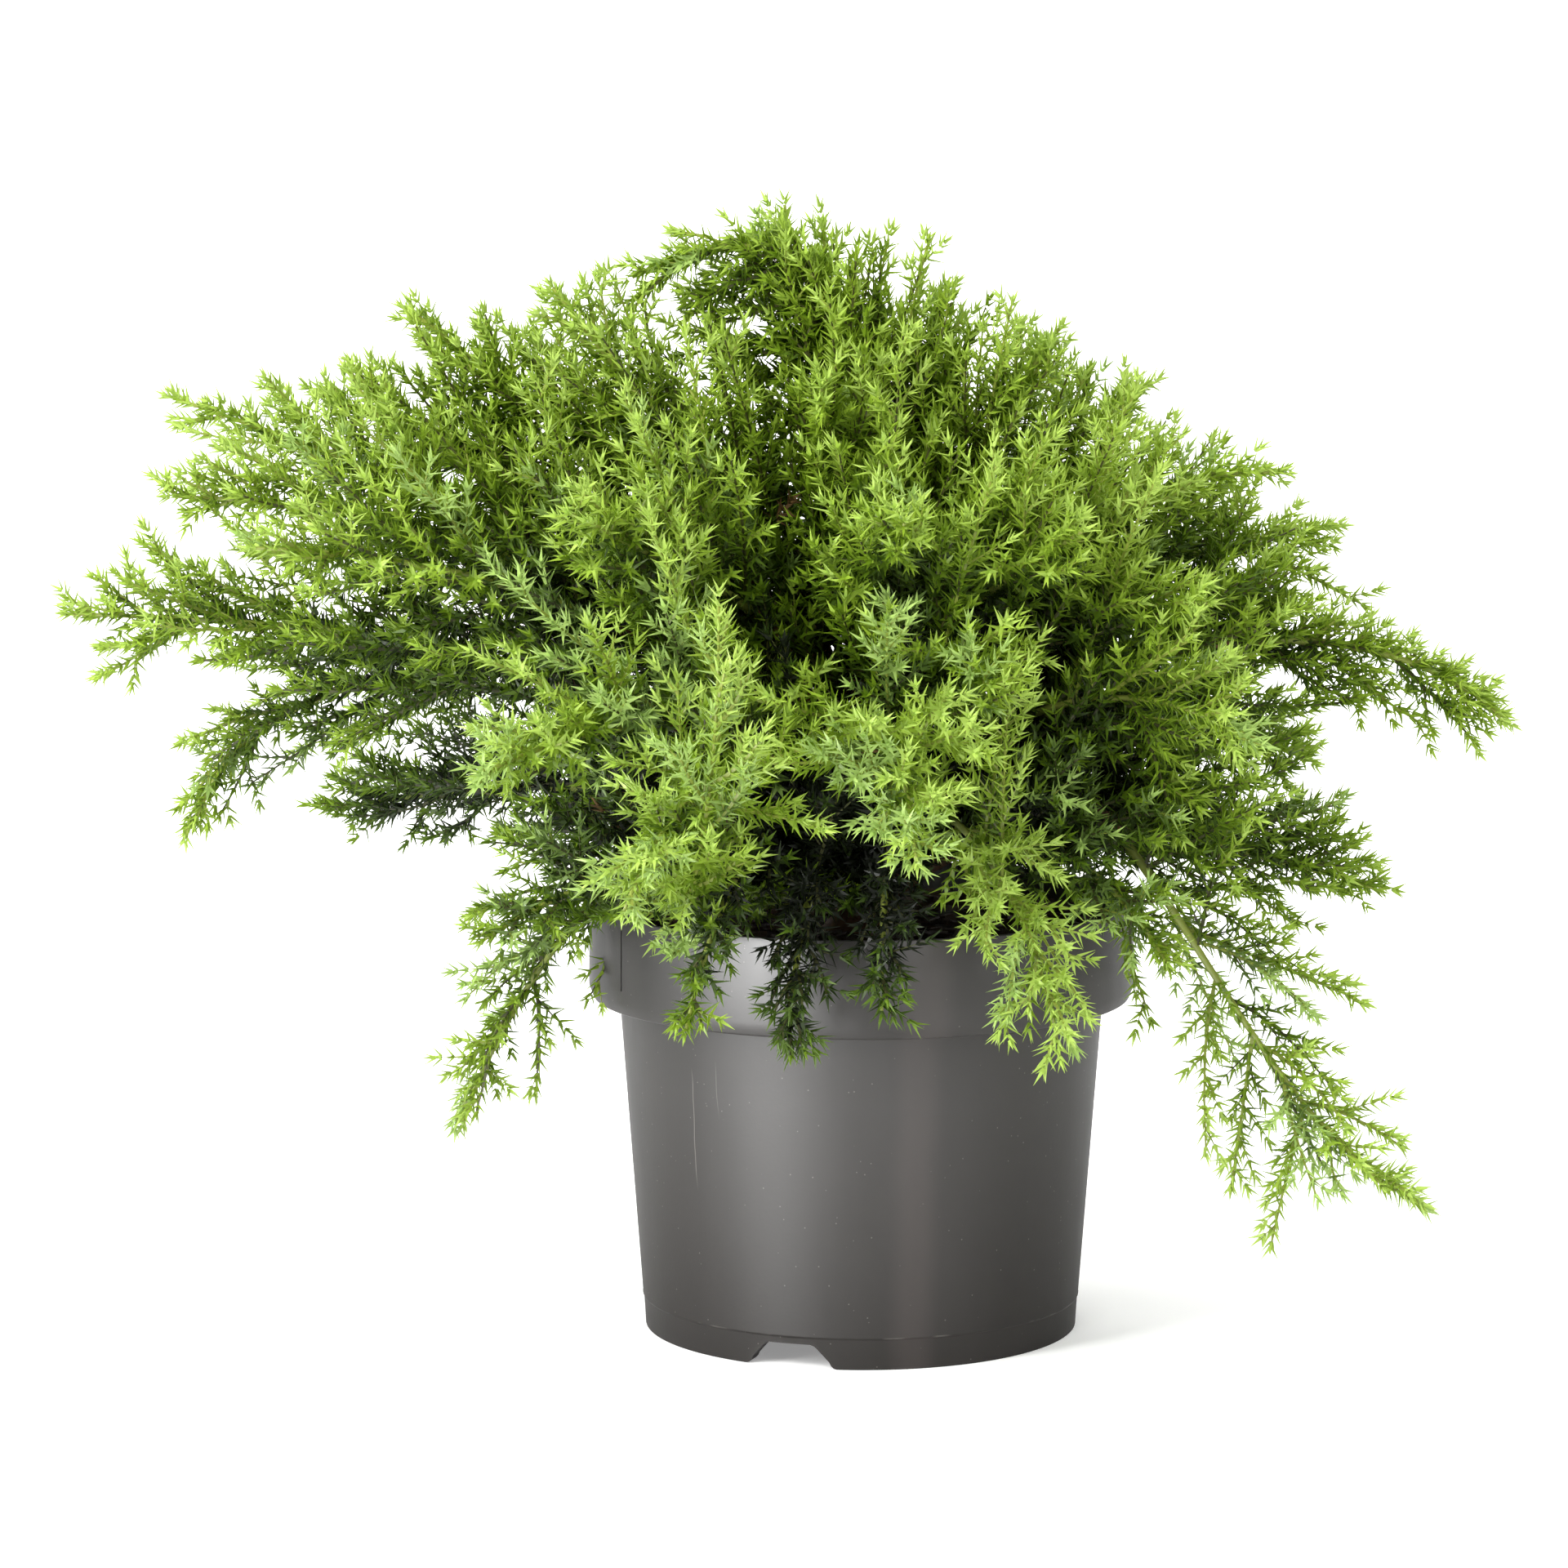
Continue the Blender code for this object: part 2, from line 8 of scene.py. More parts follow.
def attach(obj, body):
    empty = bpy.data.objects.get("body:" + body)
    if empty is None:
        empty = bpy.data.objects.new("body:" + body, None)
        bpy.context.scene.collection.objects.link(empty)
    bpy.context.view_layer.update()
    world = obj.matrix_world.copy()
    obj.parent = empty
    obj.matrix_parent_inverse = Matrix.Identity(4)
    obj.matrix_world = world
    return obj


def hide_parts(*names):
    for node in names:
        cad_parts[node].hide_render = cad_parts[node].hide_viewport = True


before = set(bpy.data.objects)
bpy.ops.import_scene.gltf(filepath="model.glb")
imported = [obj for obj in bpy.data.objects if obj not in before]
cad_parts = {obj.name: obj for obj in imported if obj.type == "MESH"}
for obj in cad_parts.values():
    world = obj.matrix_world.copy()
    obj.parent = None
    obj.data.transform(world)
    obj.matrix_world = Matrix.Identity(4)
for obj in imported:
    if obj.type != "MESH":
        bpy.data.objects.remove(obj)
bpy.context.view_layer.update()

mm = 0.001
rng = np.random.default_rng(41)
foliageNodes = sorted(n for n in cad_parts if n.startswith("foliage_"))
boughNodes = sorted(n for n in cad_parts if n.startswith("bough_"))
print("frame loaded:", len(boughNodes), "boughs,", len(foliageNodes), "masses of foliage")


# helpers

def hexColor(text):
    # sRGB hex to linear rgba
    out = []
    for k in (0, 2, 4):
        c = int(text.lstrip("#")[k:k + 2], 16) / 255
        out.append(c / 12.92 if c <= 0.04045 else ((c + 0.055) / 1.055) ** 2.4)
    return (*out, 1.0)


def node(tree, kind, links=(), **settings):
    # adds a node, sets its properties or inputs, then links (output socket, own input) pairs
    made = tree.nodes.new(kind)
    for key, value in settings.items():
        if hasattr(made, key):
            setattr(made, key, value)
        else:
            numbered = key[0] == "i" and key[1:].isdigit()
            made.inputs[int(key[1:]) if numbered else key.replace("_", " ")].default_value = value
    for source, target in links:
        tree.links.new(source, made.inputs[target])
    return made


def calc(tree, operation, *values, **constants):
    links = [(value, i) for i, value in enumerate(values) if value is not None]
    return node(tree, "ShaderNodeMath", links, operation=operation, **constants).outputs[0]


def remap(tree, value, fromLow, fromHigh, toLow, toHigh, **settings):
    return node(tree, "ShaderNodeMapRange", [(value, 0)], i1=fromLow, i2=fromHigh, i3=toLow, i4=toHigh,
                **settings).outputs[0]


def grain(tree, place, scale, detail, roughness=0.5):
    return node(tree, "ShaderNodeTexNoise", [(place, "Vector")], Scale=scale, Detail=detail,
                Roughness=roughness).outputs["Fac"]


def blend(tree, share, low, high):
    return node(tree, "ShaderNodeMix", [(share, 0)], data_type="RGBA", i6=hexColor(low),
                i7=hexColor(high)).outputs[2]


def overlay(tree, share, tone, color):
    # lays a plain colour over a tone
    return node(tree, "ShaderNodeMix", [(share, 0), (tone, 6)], data_type="RGBA",
                i7=hexColor(color)).outputs[2]


def bumpFrom(tree, shader, height, strength, distance):
    bump = node(tree, "ShaderNodeBump", [(height, "Height")], Strength=strength, Distance=distance)
    tree.links.new(bump.outputs[0], shader.inputs["Normal"])


def newMaterial(name, color, roughness, specular=0.5):
    mat = bpy.data.materials.new(name)
    mat.use_nodes = True
    shader = mat.node_tree.nodes["Principled BSDF"]
    shader.inputs["Base Color"].default_value = hexColor(color)
    shader.inputs["Roughness"].default_value = roughness
    shader.inputs["Specular IOR Level"].default_value = specular
    mat.diffuse_color = hexColor(color)
    return mat, mat.node_tree, shader


def setMode(name):
    bpy.ops.object.mode_set(mode=name)


def deselectAll():
    if bpy.context.object and bpy.context.object.mode != "OBJECT":
        setMode("OBJECT")
    bpy.ops.object.select_all(action="DESELECT")


def makeActive(obj):
    deselectAll()
    obj.select_set(True)
    bpy.context.view_layer.objects.active = obj


def applyModifier(obj, kind, **settings):
    makeActive(obj)
    mod = obj.modifiers.new(kind.lower(), kind)
    for key, value in settings.items():
        setattr(mod, key, value)
    bpy.ops.object.modifier_apply(modifier=mod.name)


def drawUp(rise, wider, deeper, height):
    # extrudes what is selected and scales the new ring about the height that it has reached
    bpy.ops.mesh.extrude_region_move(TRANSFORM_OT_translate={"value": (0, 0, rise)})
    bpy.ops.transform.resize(value=(wider, deeper, 1), center_override=(0, 0, height))


def meshFromArrays(name, points, triangles, mat, smooth=False):
    mesh = bpy.data.meshes.new(name)
    mesh.vertices.add(len(points))
    mesh.vertices.foreach_set("co", np.ascontiguousarray(points, np.float32).ravel())
    mesh.loops.add(len(triangles) * 3)
    mesh.loops.foreach_set("vertex_index", np.ascontiguousarray(triangles, np.int32).ravel())
    mesh.polygons.add(len(triangles))
    mesh.polygons.foreach_set("loop_start", np.arange(0, len(triangles) * 3, 3, dtype=np.int32))
    mesh.update(calc_edges=True)
    if smooth:
        mesh.shade_smooth()
    else:
        mesh.shade_flat()
    mesh.materials.append(mat)
    obj = bpy.data.objects.new(name, mesh)
    bpy.context.scene.collection.objects.link(obj)
    return obj


def settle(obj, slotName, *nodes):
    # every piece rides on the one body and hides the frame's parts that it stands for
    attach(obj, "root")
    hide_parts(*nodes)


# pot

pot = {
    "height": 150 * mm,
    "collarRadius": 95 * mm,
    "lipRadius": 93.5 * mm,       # the collar's lower edge draws in a little
    "lipHeight": 116 * mm,
    "bodyTop": 84.4 * mm,
    "bodyLow": 76.5 * mm,
    "bandHeight": 11 * mm,        # fine parting line of the mould
    "footRadius": 75.5 * mm,
    "wall": 1.6 * mm,
    "floor": 12 * mm,
    "recess": 9.4 * mm,           # the base is raised behind a ring of feet
    "ring": 7 * mm,
    "sides": 160,
    "edge": 0.55 * mm,            # moulded edges are never sharp
    "pockets": 3,
    "pocketTurn": -108.5,         # degrees, the notch that faces the viewer
    "pocketShape": ((-1, 38), (0, 32.5), (0.5, 30.2), (1.3, 28.6),    # height and width in mm
                    (2.6, 27.4), (7.0, 19.4), (7.9, 17.4), (8.4, 14.6)),
    "slits": (210.7, 303, 30.7, 123),       # degrees round the collar
    "slitSize": (3 * mm, 0.8 * mm, 22 * mm),
    "slitHeight": 136 * mm,
    "paintedHighlightTurn": -1.32,            # radians round the wall, where a painted highlight band runs up it
    # angle in radians less slant times height, slant, lowest and highest point, strength
    "scratches": ((-2.317, 0.0, 58 * mm, 101 * mm, 0.36), (-2.18, 0.0, 84 * mm, 105 * mm, 0.18)),
}


def plasticMaterial():
    # recycled polypropylene, injection moulded: satin dark grey with streaky flow marks, dust and two
    # hairline scratches; a highlight band up the front, a broken highlight on the parting line and shade
    # toward the foot are painted in
    mat, tree, shader = newMaterial("recycledPolypropylene", "#373432", 0.55, 0.24)
    place = node(tree, "ShaderNodeTexCoord").outputs["Object"]
    flow = node(tree, "ShaderNodeMapping", [(place, "Vector")], Scale=(1.0, 1.0, 0.25))
    clouds = grain(tree, flow.outputs[0], 34, 4, 0.6)
    tone = blend(tree, clouds, "#2F2D2B", "#3A3735")
    # dust: fine grains close together and a few larger specks
    for scale, size, share, amount in ((520, 0.16, 0.78, 0.20), (170, 0.08, 0.93, 0.45)):
        specks = node(tree, "ShaderNodeTexVoronoi", [(place, "Vector")], Scale=scale)
        small = remap(tree, specks.outputs["Distance"], size / 2, size, amount, 0.0)
        rare = calc(tree, "GREATER_THAN", specks.outputs["Color"], i1=share)
        tone = overlay(tree, calc(tree, "MULTIPLY", small, rare), tone, "#B4AFA8")
    # hairline scratches: thin bands of the angle round the pot between two heights, slightly waved
    sides = node(tree, "ShaderNodeSeparateXYZ", [(place, "Vector")])
    east, north, height = sides.outputs
    angle = calc(tree, "ARCTAN2", north, east)
    swayed = calc(tree, "MULTIPLY_ADD", grain(tree, place, 45, 1), None, angle, i1=0.035)
    for middle, slant, low, high, amount in pot["scratches"]:
        away = calc(tree, "MULTIPLY_ADD", height, None, swayed, i1=slant)
        line = calc(tree, "COMPARE", away, i1=middle, i2=0.0022)
        under = remap(tree, height, high, high - 6 * mm, 0.0, amount)
        over = remap(tree, height, low, low + 8 * mm, 0.0, 1.0)
        part = calc(tree, "MULTIPLY", under, over)
        tone = overlay(tree, calc(tree, "MULTIPLY", part, line), tone, "#99948E")
    # painted highlight: a paler band up the front wall, adding to the edge lamp's reflection there
    off = calc(tree, "ABSOLUTE", calc(tree, "SUBTRACT", swayed, i1=pot["paintedHighlightTurn"]))
    paintedHighlightBand = remap(tree, off, 0.02, 0.13, 0.55, 0.0, interpolation_type="SMOOTHSTEP")
    tone = overlay(tree, paintedHighlightBand, tone, "#4A4442")
    # painted highlight: the parting line's ridge glints paler here and there
    paintedRidgeGlint = remap(tree, grain(tree, place, 70, 3), 0.52, 0.66, 0.0, 0.3)
    edge = calc(tree, "COMPARE", height, i1=pot["bandHeight"], i2=0.0003)
    tone = overlay(tree, calc(tree, "MULTIPLY", paintedRidgeGlint, edge), tone, "#8B8681")
    # painted shade: darker toward the foot, as the light on the wall fades downward; duller there too, with
    # less specular
    tone = overlay(tree, remap(tree, height, 4 * mm, 90 * mm, 0.20, 0.0), tone, "#171514")
    polish = remap(tree, height, 4 * mm, 92 * mm, 0.08, 0.28)
    gloss = remap(tree, clouds, 0.3, 0.7, 0.50, 0.60)
    for value, socket in ((tone, "Base Color"), (polish, "Specular IOR Level"), (gloss, "Roughness")):
        tree.links.new(value, shader.inputs[socket])
    bumpFrom(tree, shader, grain(tree, place, 900, 2), 0.12, 0.0002)
    return mat


def boxCutter(name, size, turn, distance, height):
    # a block laid radially at an azimuth, its size baked in
    bpy.ops.mesh.primitive_cube_add(size=1)
    cutter = bpy.context.object
    cutter.name = name
    turned = Matrix.Rotation(math.radians(turn), 4, "Z")
    sized = Matrix.Diagonal((*size, 1))
    cutter.data.transform(turned @ Matrix.Translation((distance, 0, height)) @ sized)
    return cutter


def notchCutter(name, p, turn):
    # a block wide at the floor and narrow at its top, drawn up step by step, then set at its azimuth
    deselectAll()
    (low, width), *steps = p["pocketShape"]
    bpy.ops.mesh.primitive_plane_add(size=1, location=(p["footRadius"] - 4 * mm, 0, low * mm))
    cutter = bpy.context.object
    cutter.name = name
    cutter.scale = (30 * mm, width * mm, 1)
    bpy.ops.object.transform_apply(location=True, scale=True)
    setMode("EDIT")
    bpy.ops.mesh.select_all(action="SELECT")
    for height, wide in steps:
        drawUp((height - low) * mm, 1, wide / width, height * mm)
        low, width = height, wide
    bpy.ops.mesh.select_all(action="SELECT")
    bpy.ops.mesh.normals_make_consistent(inside=False)
    setMode("OBJECT")
    cutter.data.transform(Matrix.Rotation(math.radians(turn), 4, "Z"))
    return cutter


def cut(obj, cutters):
    makeActive(cutters[0])
    for cutter in cutters:
        cutter.select_set(True)
    if len(cutters) > 1:
        bpy.ops.object.join()
    tool = bpy.context.object
    applyModifier(obj, "BOOLEAN", operation="DIFFERENCE", solver="EXACT", object=tool)
    bpy.data.objects.remove(tool)


def buildPot(p, mat):
    deselectAll()
    bpy.ops.mesh.primitive_circle_add(vertices=p["sides"], radius=p["footRadius"], fill_type="NOTHING")
    obj = bpy.context.object
    obj.name = "nurseryPot"
    inner = p["bodyLow"] - p["wall"]
    profile = [     # radius, height: up the outside, over the rim, down the inside
        (p["bodyLow"] - 0.35 * mm, p["bandHeight"] - 0.4 * mm),
        (p["bodyLow"] + 0.1 * mm, p["bandHeight"]),
        (p["bodyLow"], p["bandHeight"] + 0.9 * mm),
        (p["bodyTop"], p["lipHeight"] + 1.2 * mm),
        (p["lipRadius"] - 1.2 * mm, p["lipHeight"] + 0.2 * mm),
        (p["lipRadius"], p["lipHeight"] + 0.8 * mm),
        (p["collarRadius"], p["lipHeight"] + 5 * mm),
        (p["collarRadius"] - 0.2 * mm, p["height"] - 2.2 * mm),
        (p["collarRadius"] - 0.2 * mm, p["height"]),
        (p["collarRadius"] - 0.2 * mm - p["wall"], p["height"]),
        (p["collarRadius"] - 0.4 * mm - p["wall"], p["lipHeight"] + 4 * mm),
        (p["bodyTop"] - p["wall"], p["lipHeight"] + 1.5 * mm),
        (inner, p["floor"]),
    ]
    setMode("EDIT")
    bpy.ops.mesh.select_all(action="SELECT")
    radius, height = p["footRadius"], 0.0
    for nextRadius, nextHeight in profile:
        drawUp(nextHeight - height, nextRadius / radius, nextRadius / radius, nextHeight)
        radius, height = nextRadius, nextHeight
    bpy.ops.mesh.edge_face_add()                       # inside floor
    bpy.ops.mesh.inset(thickness=3 * mm)
    bpy.ops.mesh.select_all(action="DESELECT")
    bpy.ops.mesh.select_mode(type="EDGE")
    bpy.ops.mesh.select_non_manifold()
    bpy.ops.mesh.edge_face_add()                       # underside: a ring to stand on, then the raised base
    bpy.ops.mesh.inset(thickness=p["ring"])
    bpy.ops.mesh.extrude_region_move(TRANSFORM_OT_translate={"value": (0, 0, p["recess"])})
    bpy.ops.mesh.inset(thickness=1.5 * mm)
    bpy.ops.mesh.select_all(action="SELECT")
    bpy.ops.mesh.normals_make_consistent(inside=False)
    setMode("OBJECT")
    applyModifier(obj, "BEVEL", width=p["edge"], segments=3, limit_method="ANGLE",
                  angle_limit=math.radians(28))
    cut(obj, [notchCutter(f"notch{i}", p, p["pocketTurn"] + 360 / p["pockets"] * i)
              for i in range(p["pockets"])])
    deselectAll()
    cut(obj, [boxCutter(f"slit{i}", p["slitSize"], turn, p["collarRadius"] - 1 * mm, p["slitHeight"])
              for i, turn in enumerate(p["slits"])])
    makeActive(obj)
    bpy.ops.object.shade_smooth_by_angle(angle=math.radians(32))
    obj.data.materials.clear()
    obj.data.materials.append(mat)
    settle(obj, "pot", "pot")


buildPot(pot, plasticMaterial())
print("pot turned, notches and slits cut")


# soil

soil = {
    "top": 138 * mm,
    "radius": 92.6 * mm,
    "bodyRadius": 81 * mm,
    "step": 118 * mm,
    "foot": 12.4 * mm,
    "roughness": 3.4 * mm,
    "chips": 420,
    "chipSize": (3, 11),          # mm
}


def soilMaterial(name, low, high):
    # peat and composted bark: crumbly, matt, nearly black where it is moist
    mat, tree, shader = newMaterial(name, low, 0.93, 0.2)
    place = node(tree, "ShaderNodeTexCoord").outputs["Object"]
    crumbs = grain(tree, place, 420, 6, 0.7)
    tree.links.new(blend(tree, crumbs, low, high), shader.inputs["Base Color"])
    bumpFrom(tree, shader, crumbs, 0.8, 0.0012)
    return mat


def buildSoil(s, mat, chipMat):
    deselectAll()
    bpy.ops.mesh.primitive_cylinder_add(vertices=96, radius=s["radius"] - 0.6 * mm,
                                        depth=s["top"] - s["step"], end_fill_type="TRIFAN",
                                        location=(0, 0, (s["top"] + s["step"]) / 2))
    obj = bpy.context.object
    obj.name = "pottingMix"
    bpy.ops.object.transform_apply(location=True)
    setMode("EDIT")
    bpy.ops.mesh.select_all(action="DESELECT")
    setMode("OBJECT")
    for face in obj.data.polygons:
        face.select = face.normal.z < -0.9
    setMode("EDIT")
    bpy.ops.mesh.select_mode(type="FACE")
    bpy.ops.mesh.dissolve_faces()
    ratio = s["bodyRadius"] / s["radius"]
    drawUp(-2 * mm, ratio, ratio, s["step"])
    drawUp(s["foot"] - s["step"] + 2 * mm, 0.91, 0.91, s["foot"])
    setMode("OBJECT")
    for face in obj.data.polygons:
        face.select = face.normal.z > 0.9
    setMode("EDIT")
    for cuts in (3, 2, 1):
        bpy.ops.mesh.subdivide(number_cuts=cuts)
    bpy.ops.mesh.quads_convert_to_tris()
    setMode("OBJECT")
    for v in obj.data.vertices:                       # crumbly top, level at the wall
        level = math.hypot(v.co.x, v.co.y)
        if v.co.z > s["top"] - 0.5 * mm and level < s["radius"] - 1.5 * mm:
            bump = noise.fractal(v.co * 95, 0.9, 2.1, 4) * s["roughness"] * 0.6
            mound = 1.5 * mm * (1 - (level / s["radius"]) ** 2)
            v.co.z += min(2.6 * mm, max(-2.5 * mm, bump + mound))
    obj.data.shade_smooth()
    obj.data.materials.append(mat)
    settle(obj, "soil", "soil")
    # chips of composted bark on the top
    points, triangles = [], []
    corners = np.array([(x, y, z) for x in (-1, 1) for y in (-1, 1) for z in (-1, 1)], float) / 2
    faces = np.array([(0, 1, 3), (0, 3, 2), (4, 6, 7), (4, 7, 5), (0, 4, 5), (0, 5, 1),
                      (2, 3, 7), (2, 7, 6), (0, 2, 6), (0, 6, 4), (1, 5, 7), (1, 7, 3)])
    for i in range(s["chips"]):
        level = (s["radius"] - 7 * mm) * math.sqrt(rng.uniform(0.03, 1))
        turn = rng.uniform(0, 2 * math.pi)
        long = rng.uniform(*s["chipSize"]) * mm
        size = np.array((long, long * rng.uniform(0.35, 0.7), rng.uniform(0.8, 2.2) * mm))
        shape = corners * size * (1 + rng.uniform(-0.22, 0.22, (8, 3)))
        tilt = Matrix.Rotation(rng.uniform(0, 6.3), 3, "Z") @ Matrix.Rotation(rng.normal(0, 0.3), 3, "X")
        shape = shape @ np.array(tilt).T
        shape += (level * math.cos(turn), level * math.sin(turn), s["top"] + rng.uniform(0.8, 2.6) * mm)
        triangles.append(faces + 8 * i)
        points.append(shape)
    chips = meshFromArrays("barkChips", np.concatenate(points), np.concatenate(triangles), chipMat)
    settle(chips, "soil", "soil")


buildSoil(soil, soilMaterial("peatMix", "#120D0A", "#29201A"),
          soilMaterial("compostedBark", "#1C140E", "#40301F"))
print("soil laid")


# limbs: the source's rule, from the same sizes

trunk = {
    "foot": 138.3 * mm, "top": 226 * mm,
    "flare": 14.5 * mm, "radius": 9.5 * mm, "topRadius": 5 * mm, "flareHeight": 12 * mm,
    "lean": np.array((3 * mm, -2 * mm, 0.0)),
    "sides": 40, "rings": 70,
    "relief": 0.9 * mm,
}
limb = {
    "rootRadius": 3.6 * mm, "boughTip": 2.4 * mm, "directRadius": 2.6 * mm, "tipRadius": 0.55 * mm,
    "rootHandle": 0.42,
}
limbs = {
    # azimuth, reach and height of the tip in mm, first and last slope, height on the trunk in mm, and then
    # what isn't usual: the bare share, the swing and how early it takes its last direction
    "left_reach": (184, 274, 251, 28, 2, 186, 0.26),
    "left_high": (172, 247, 323, 37, 18, 201, 0.26, -10),
    "left_mid": (193, 240, 294, 40, 2, 196, 0, 14),
    "left_inner": (205, 222, 280, 42, 4, 190),
    "left_droop": (171, 241, 170, 42, -72, 177, 0.28, -14),
    "left_back_low": (151, 226, 166, 16, -12, 166),
    "left_hang": (206, 150, 82, 36, -70, 168, 0, -12),
    "left_skirt": (222, 168, 152, 18, -24, 158, 0, 8),
    "left_top": (165, 204, 325, 48, 22, 208, 0, 24),
    "top_left": (167, 166, 354, 57, 36, 215, 0, -4),
    "top_left_inner": (190, 108, 364, 68, 54, 220),
    "top_peak": (165, 28, 392, 84, 84, 226, 0, 60),
    "top_arch": (182, 82, 364, 78, -28, 219, 0, -61, 0.69),
    "top_back": (100, 90, 358, 74, 50, 214, 0, -12),
    "top_right_inner": (52, 48, 361, 78, 66, 222),
    "top_right": (346, 70, 350, 72, 54, 220, 0, 6),
    "top_front": (258, 66, 332, 74, 48, 221),
    "right_high": (30, 117, 326, 60, 22, 212),
    "right_upper": (352, 147, 300, 55, -4, 204, 0, -10),
    "right_mid": (22, 186, 275, 43, 4, 200, 0.26),
    "right_reach": (1, 226, 211, 40, -42, 186, 0.28, 4),
    "right_low": (10, 187, 150, 20, -12, 166),
    "right_back_low": (38, 214, 182, 24, -20, 178),
    "right_arch": (322, 164, 214, 44, -34, 179, 0.26),
    "right_hang": (327, 220, 67, 42, -15, 193, 0.4, 13),
    "front_right_up": (322, 146, 262, 50, 4, 200),
    "front_right_hang": (293, 164, 120, 38, -72, 172, 0, -2),
    "front_right_low": (314, 146, 142, 32, -54, 164),
    "front_up_right": (302, 136, 288, 56, 24, 207, 0, 6),
    "front_up": (276, 132, 292, 62, 26, 211, 0, -2),
    "front_inner": (286, 150, 240, 50, -6, 199),
    "front_centre": (248, 200, 172, 36, -44, 178),
    "front_mid": (275, 198, 190, 38, -34, 190),
    "front_left_up": (232, 154, 294, 54, 24, 206),
    "front_left": (234, 206, 214, 32, -12, 184, 0.28, -4),
    "front_upright": (257, 197, 275, 6, 86, 149, 0, -45, 0.58),
    "rim_hang": (259, 124, 118, 54, -84, 164),
    "low_front": (268, 88, 163, 40, -16, 153),
    "low_front_left": (238, 116, 172, 36, -20, 150, 0, 10),
    "low_front_right": (306, 124, 178, 40, -20, 154),
    "low_right": (346, 130, 178, 38, -16, 152),
    "rim_hang_left": (249, 158, 128, 40, -58, 169, 0, -8),
    "rim_hang_right": (273, 128, 131, 44, -66, 160, 0, 12),
    "back_high": (92, 172, 312, 52, 14, 204),
    "back_low_left": (130, 166, 160, 26, -14, 169),
    "back_low_right": (66, 166, 164, 26, -14, 167),
    "back_left": (124, 210, 250, 36, 0, 194),
    "back_right": (64, 208, 244, 38, -8, 196),
    "back_low": (96, 196, 156, 18, -24, 170),
}


def unit(v):
    return v / np.maximum(np.linalg.norm(v, axis=-1, keepdims=True), 1e-12)


def heading(azimuth, slope):
    turn, rise = math.radians(azimuth), math.radians(slope)
    return np.array((math.cos(turn) * math.cos(rise), math.sin(turn) * math.cos(rise), math.sin(rise)))


def trunkAxis(height):
    share = np.maximum(0.0, (height - trunk["foot"]) / (trunk["top"] - trunk["foot"]))
    return np.array((0, 0, height)) + trunk["lean"] * share ** 1.4


def trunkRadius(height):
    share = max(0.0, (height - trunk["foot"]) / (trunk["top"] - trunk["foot"]))
    flare = max(0.0, 1 - (height - trunk["foot"]) / trunk["flareHeight"])
    straight = trunk["radius"] + (trunk["topRadius"] - trunk["radius"]) * share
    return straight + (trunk["flare"] - trunk["radius"]) * flare ** 2


class Limb:
    def __init__(self, name, azimuth, reach, height, rise, dip, leaves, bare=0, swing=0, ease=0.34):
        self.name, self.bare = name, bare
        self.rootRadius = limb["rootRadius"] if bare else limb["directRadius"]
        level = heading(azimuth + swing, 0)
        if leaves * mm < trunk["top"]:
            foot = leaves * mm
            away = trunkRadius(foot - self.rootRadius) + self.rootRadius * math.sin(math.radians(rise))
            start = trunkAxis(foot) + level * away
        else:
            start = trunkAxis(trunk["top"])
        end = heading(azimuth, 0) * reach * mm + np.array((0, 0, height * mm))
        straight = np.linalg.norm(end - start)
        self.handles = (start, start + heading(azimuth + swing, rise) * straight * limb["rootHandle"],
                        end - heading(azimuth, dip) * straight * ease, end)
        self.side = np.array((-level[1], level[0], 0))
        self.length = straight * 1.06

    def point(self, s):
        s = np.asarray(s, float)[..., None]
        a, b, c, d = self.handles
        r = 1 - s
        return a * r ** 3 + b * 3 * r * r * s + c * 3 * r * s * s + d * s ** 3

    def tangent(self, s):
        s = np.asarray(s, float)[..., None]
        a, b, c, d = self.handles
        r = 1 - s
        return unit((b - a) * r * r + (c - b) * 2 * r * s + (d - c) * s * s)

    def radius(self, s):
        if s < self.bare:
            return self.rootRadius + (limb["boughTip"] - self.rootRadius) * s / self.bare
        first = limb["boughTip"] if self.bare else self.rootRadius
        return first + (limb["tipRadius"] - first) * (s - self.bare) / (1 - self.bare)


allLimbs = [Limb(name, *sizes) for name, sizes in limbs.items()]


# bark of trunk and boughs

def barkMaterial():
    # juniper bark: thin red-brown strips that flake along the wood
    mat, tree, shader = newMaterial("juniperBark", "#6B4226", 0.82, 0.25)
    place = node(tree, "ShaderNodeTexCoord").outputs["Object"]
    strips = grain(tree, place, 230, 5, 0.65)
    young = remap(tree, grain(tree, place, 60, 2), 0.5, 0.68, 0.0, 0.6)
    tone = overlay(tree, young, blend(tree, strips, "#32231A", "#705039"), "#8C7A3C")
    tree.links.new(tone, shader.inputs["Base Color"])
    bumpFrom(tree, shader, strips, 0.7, 0.0005)
    return mat


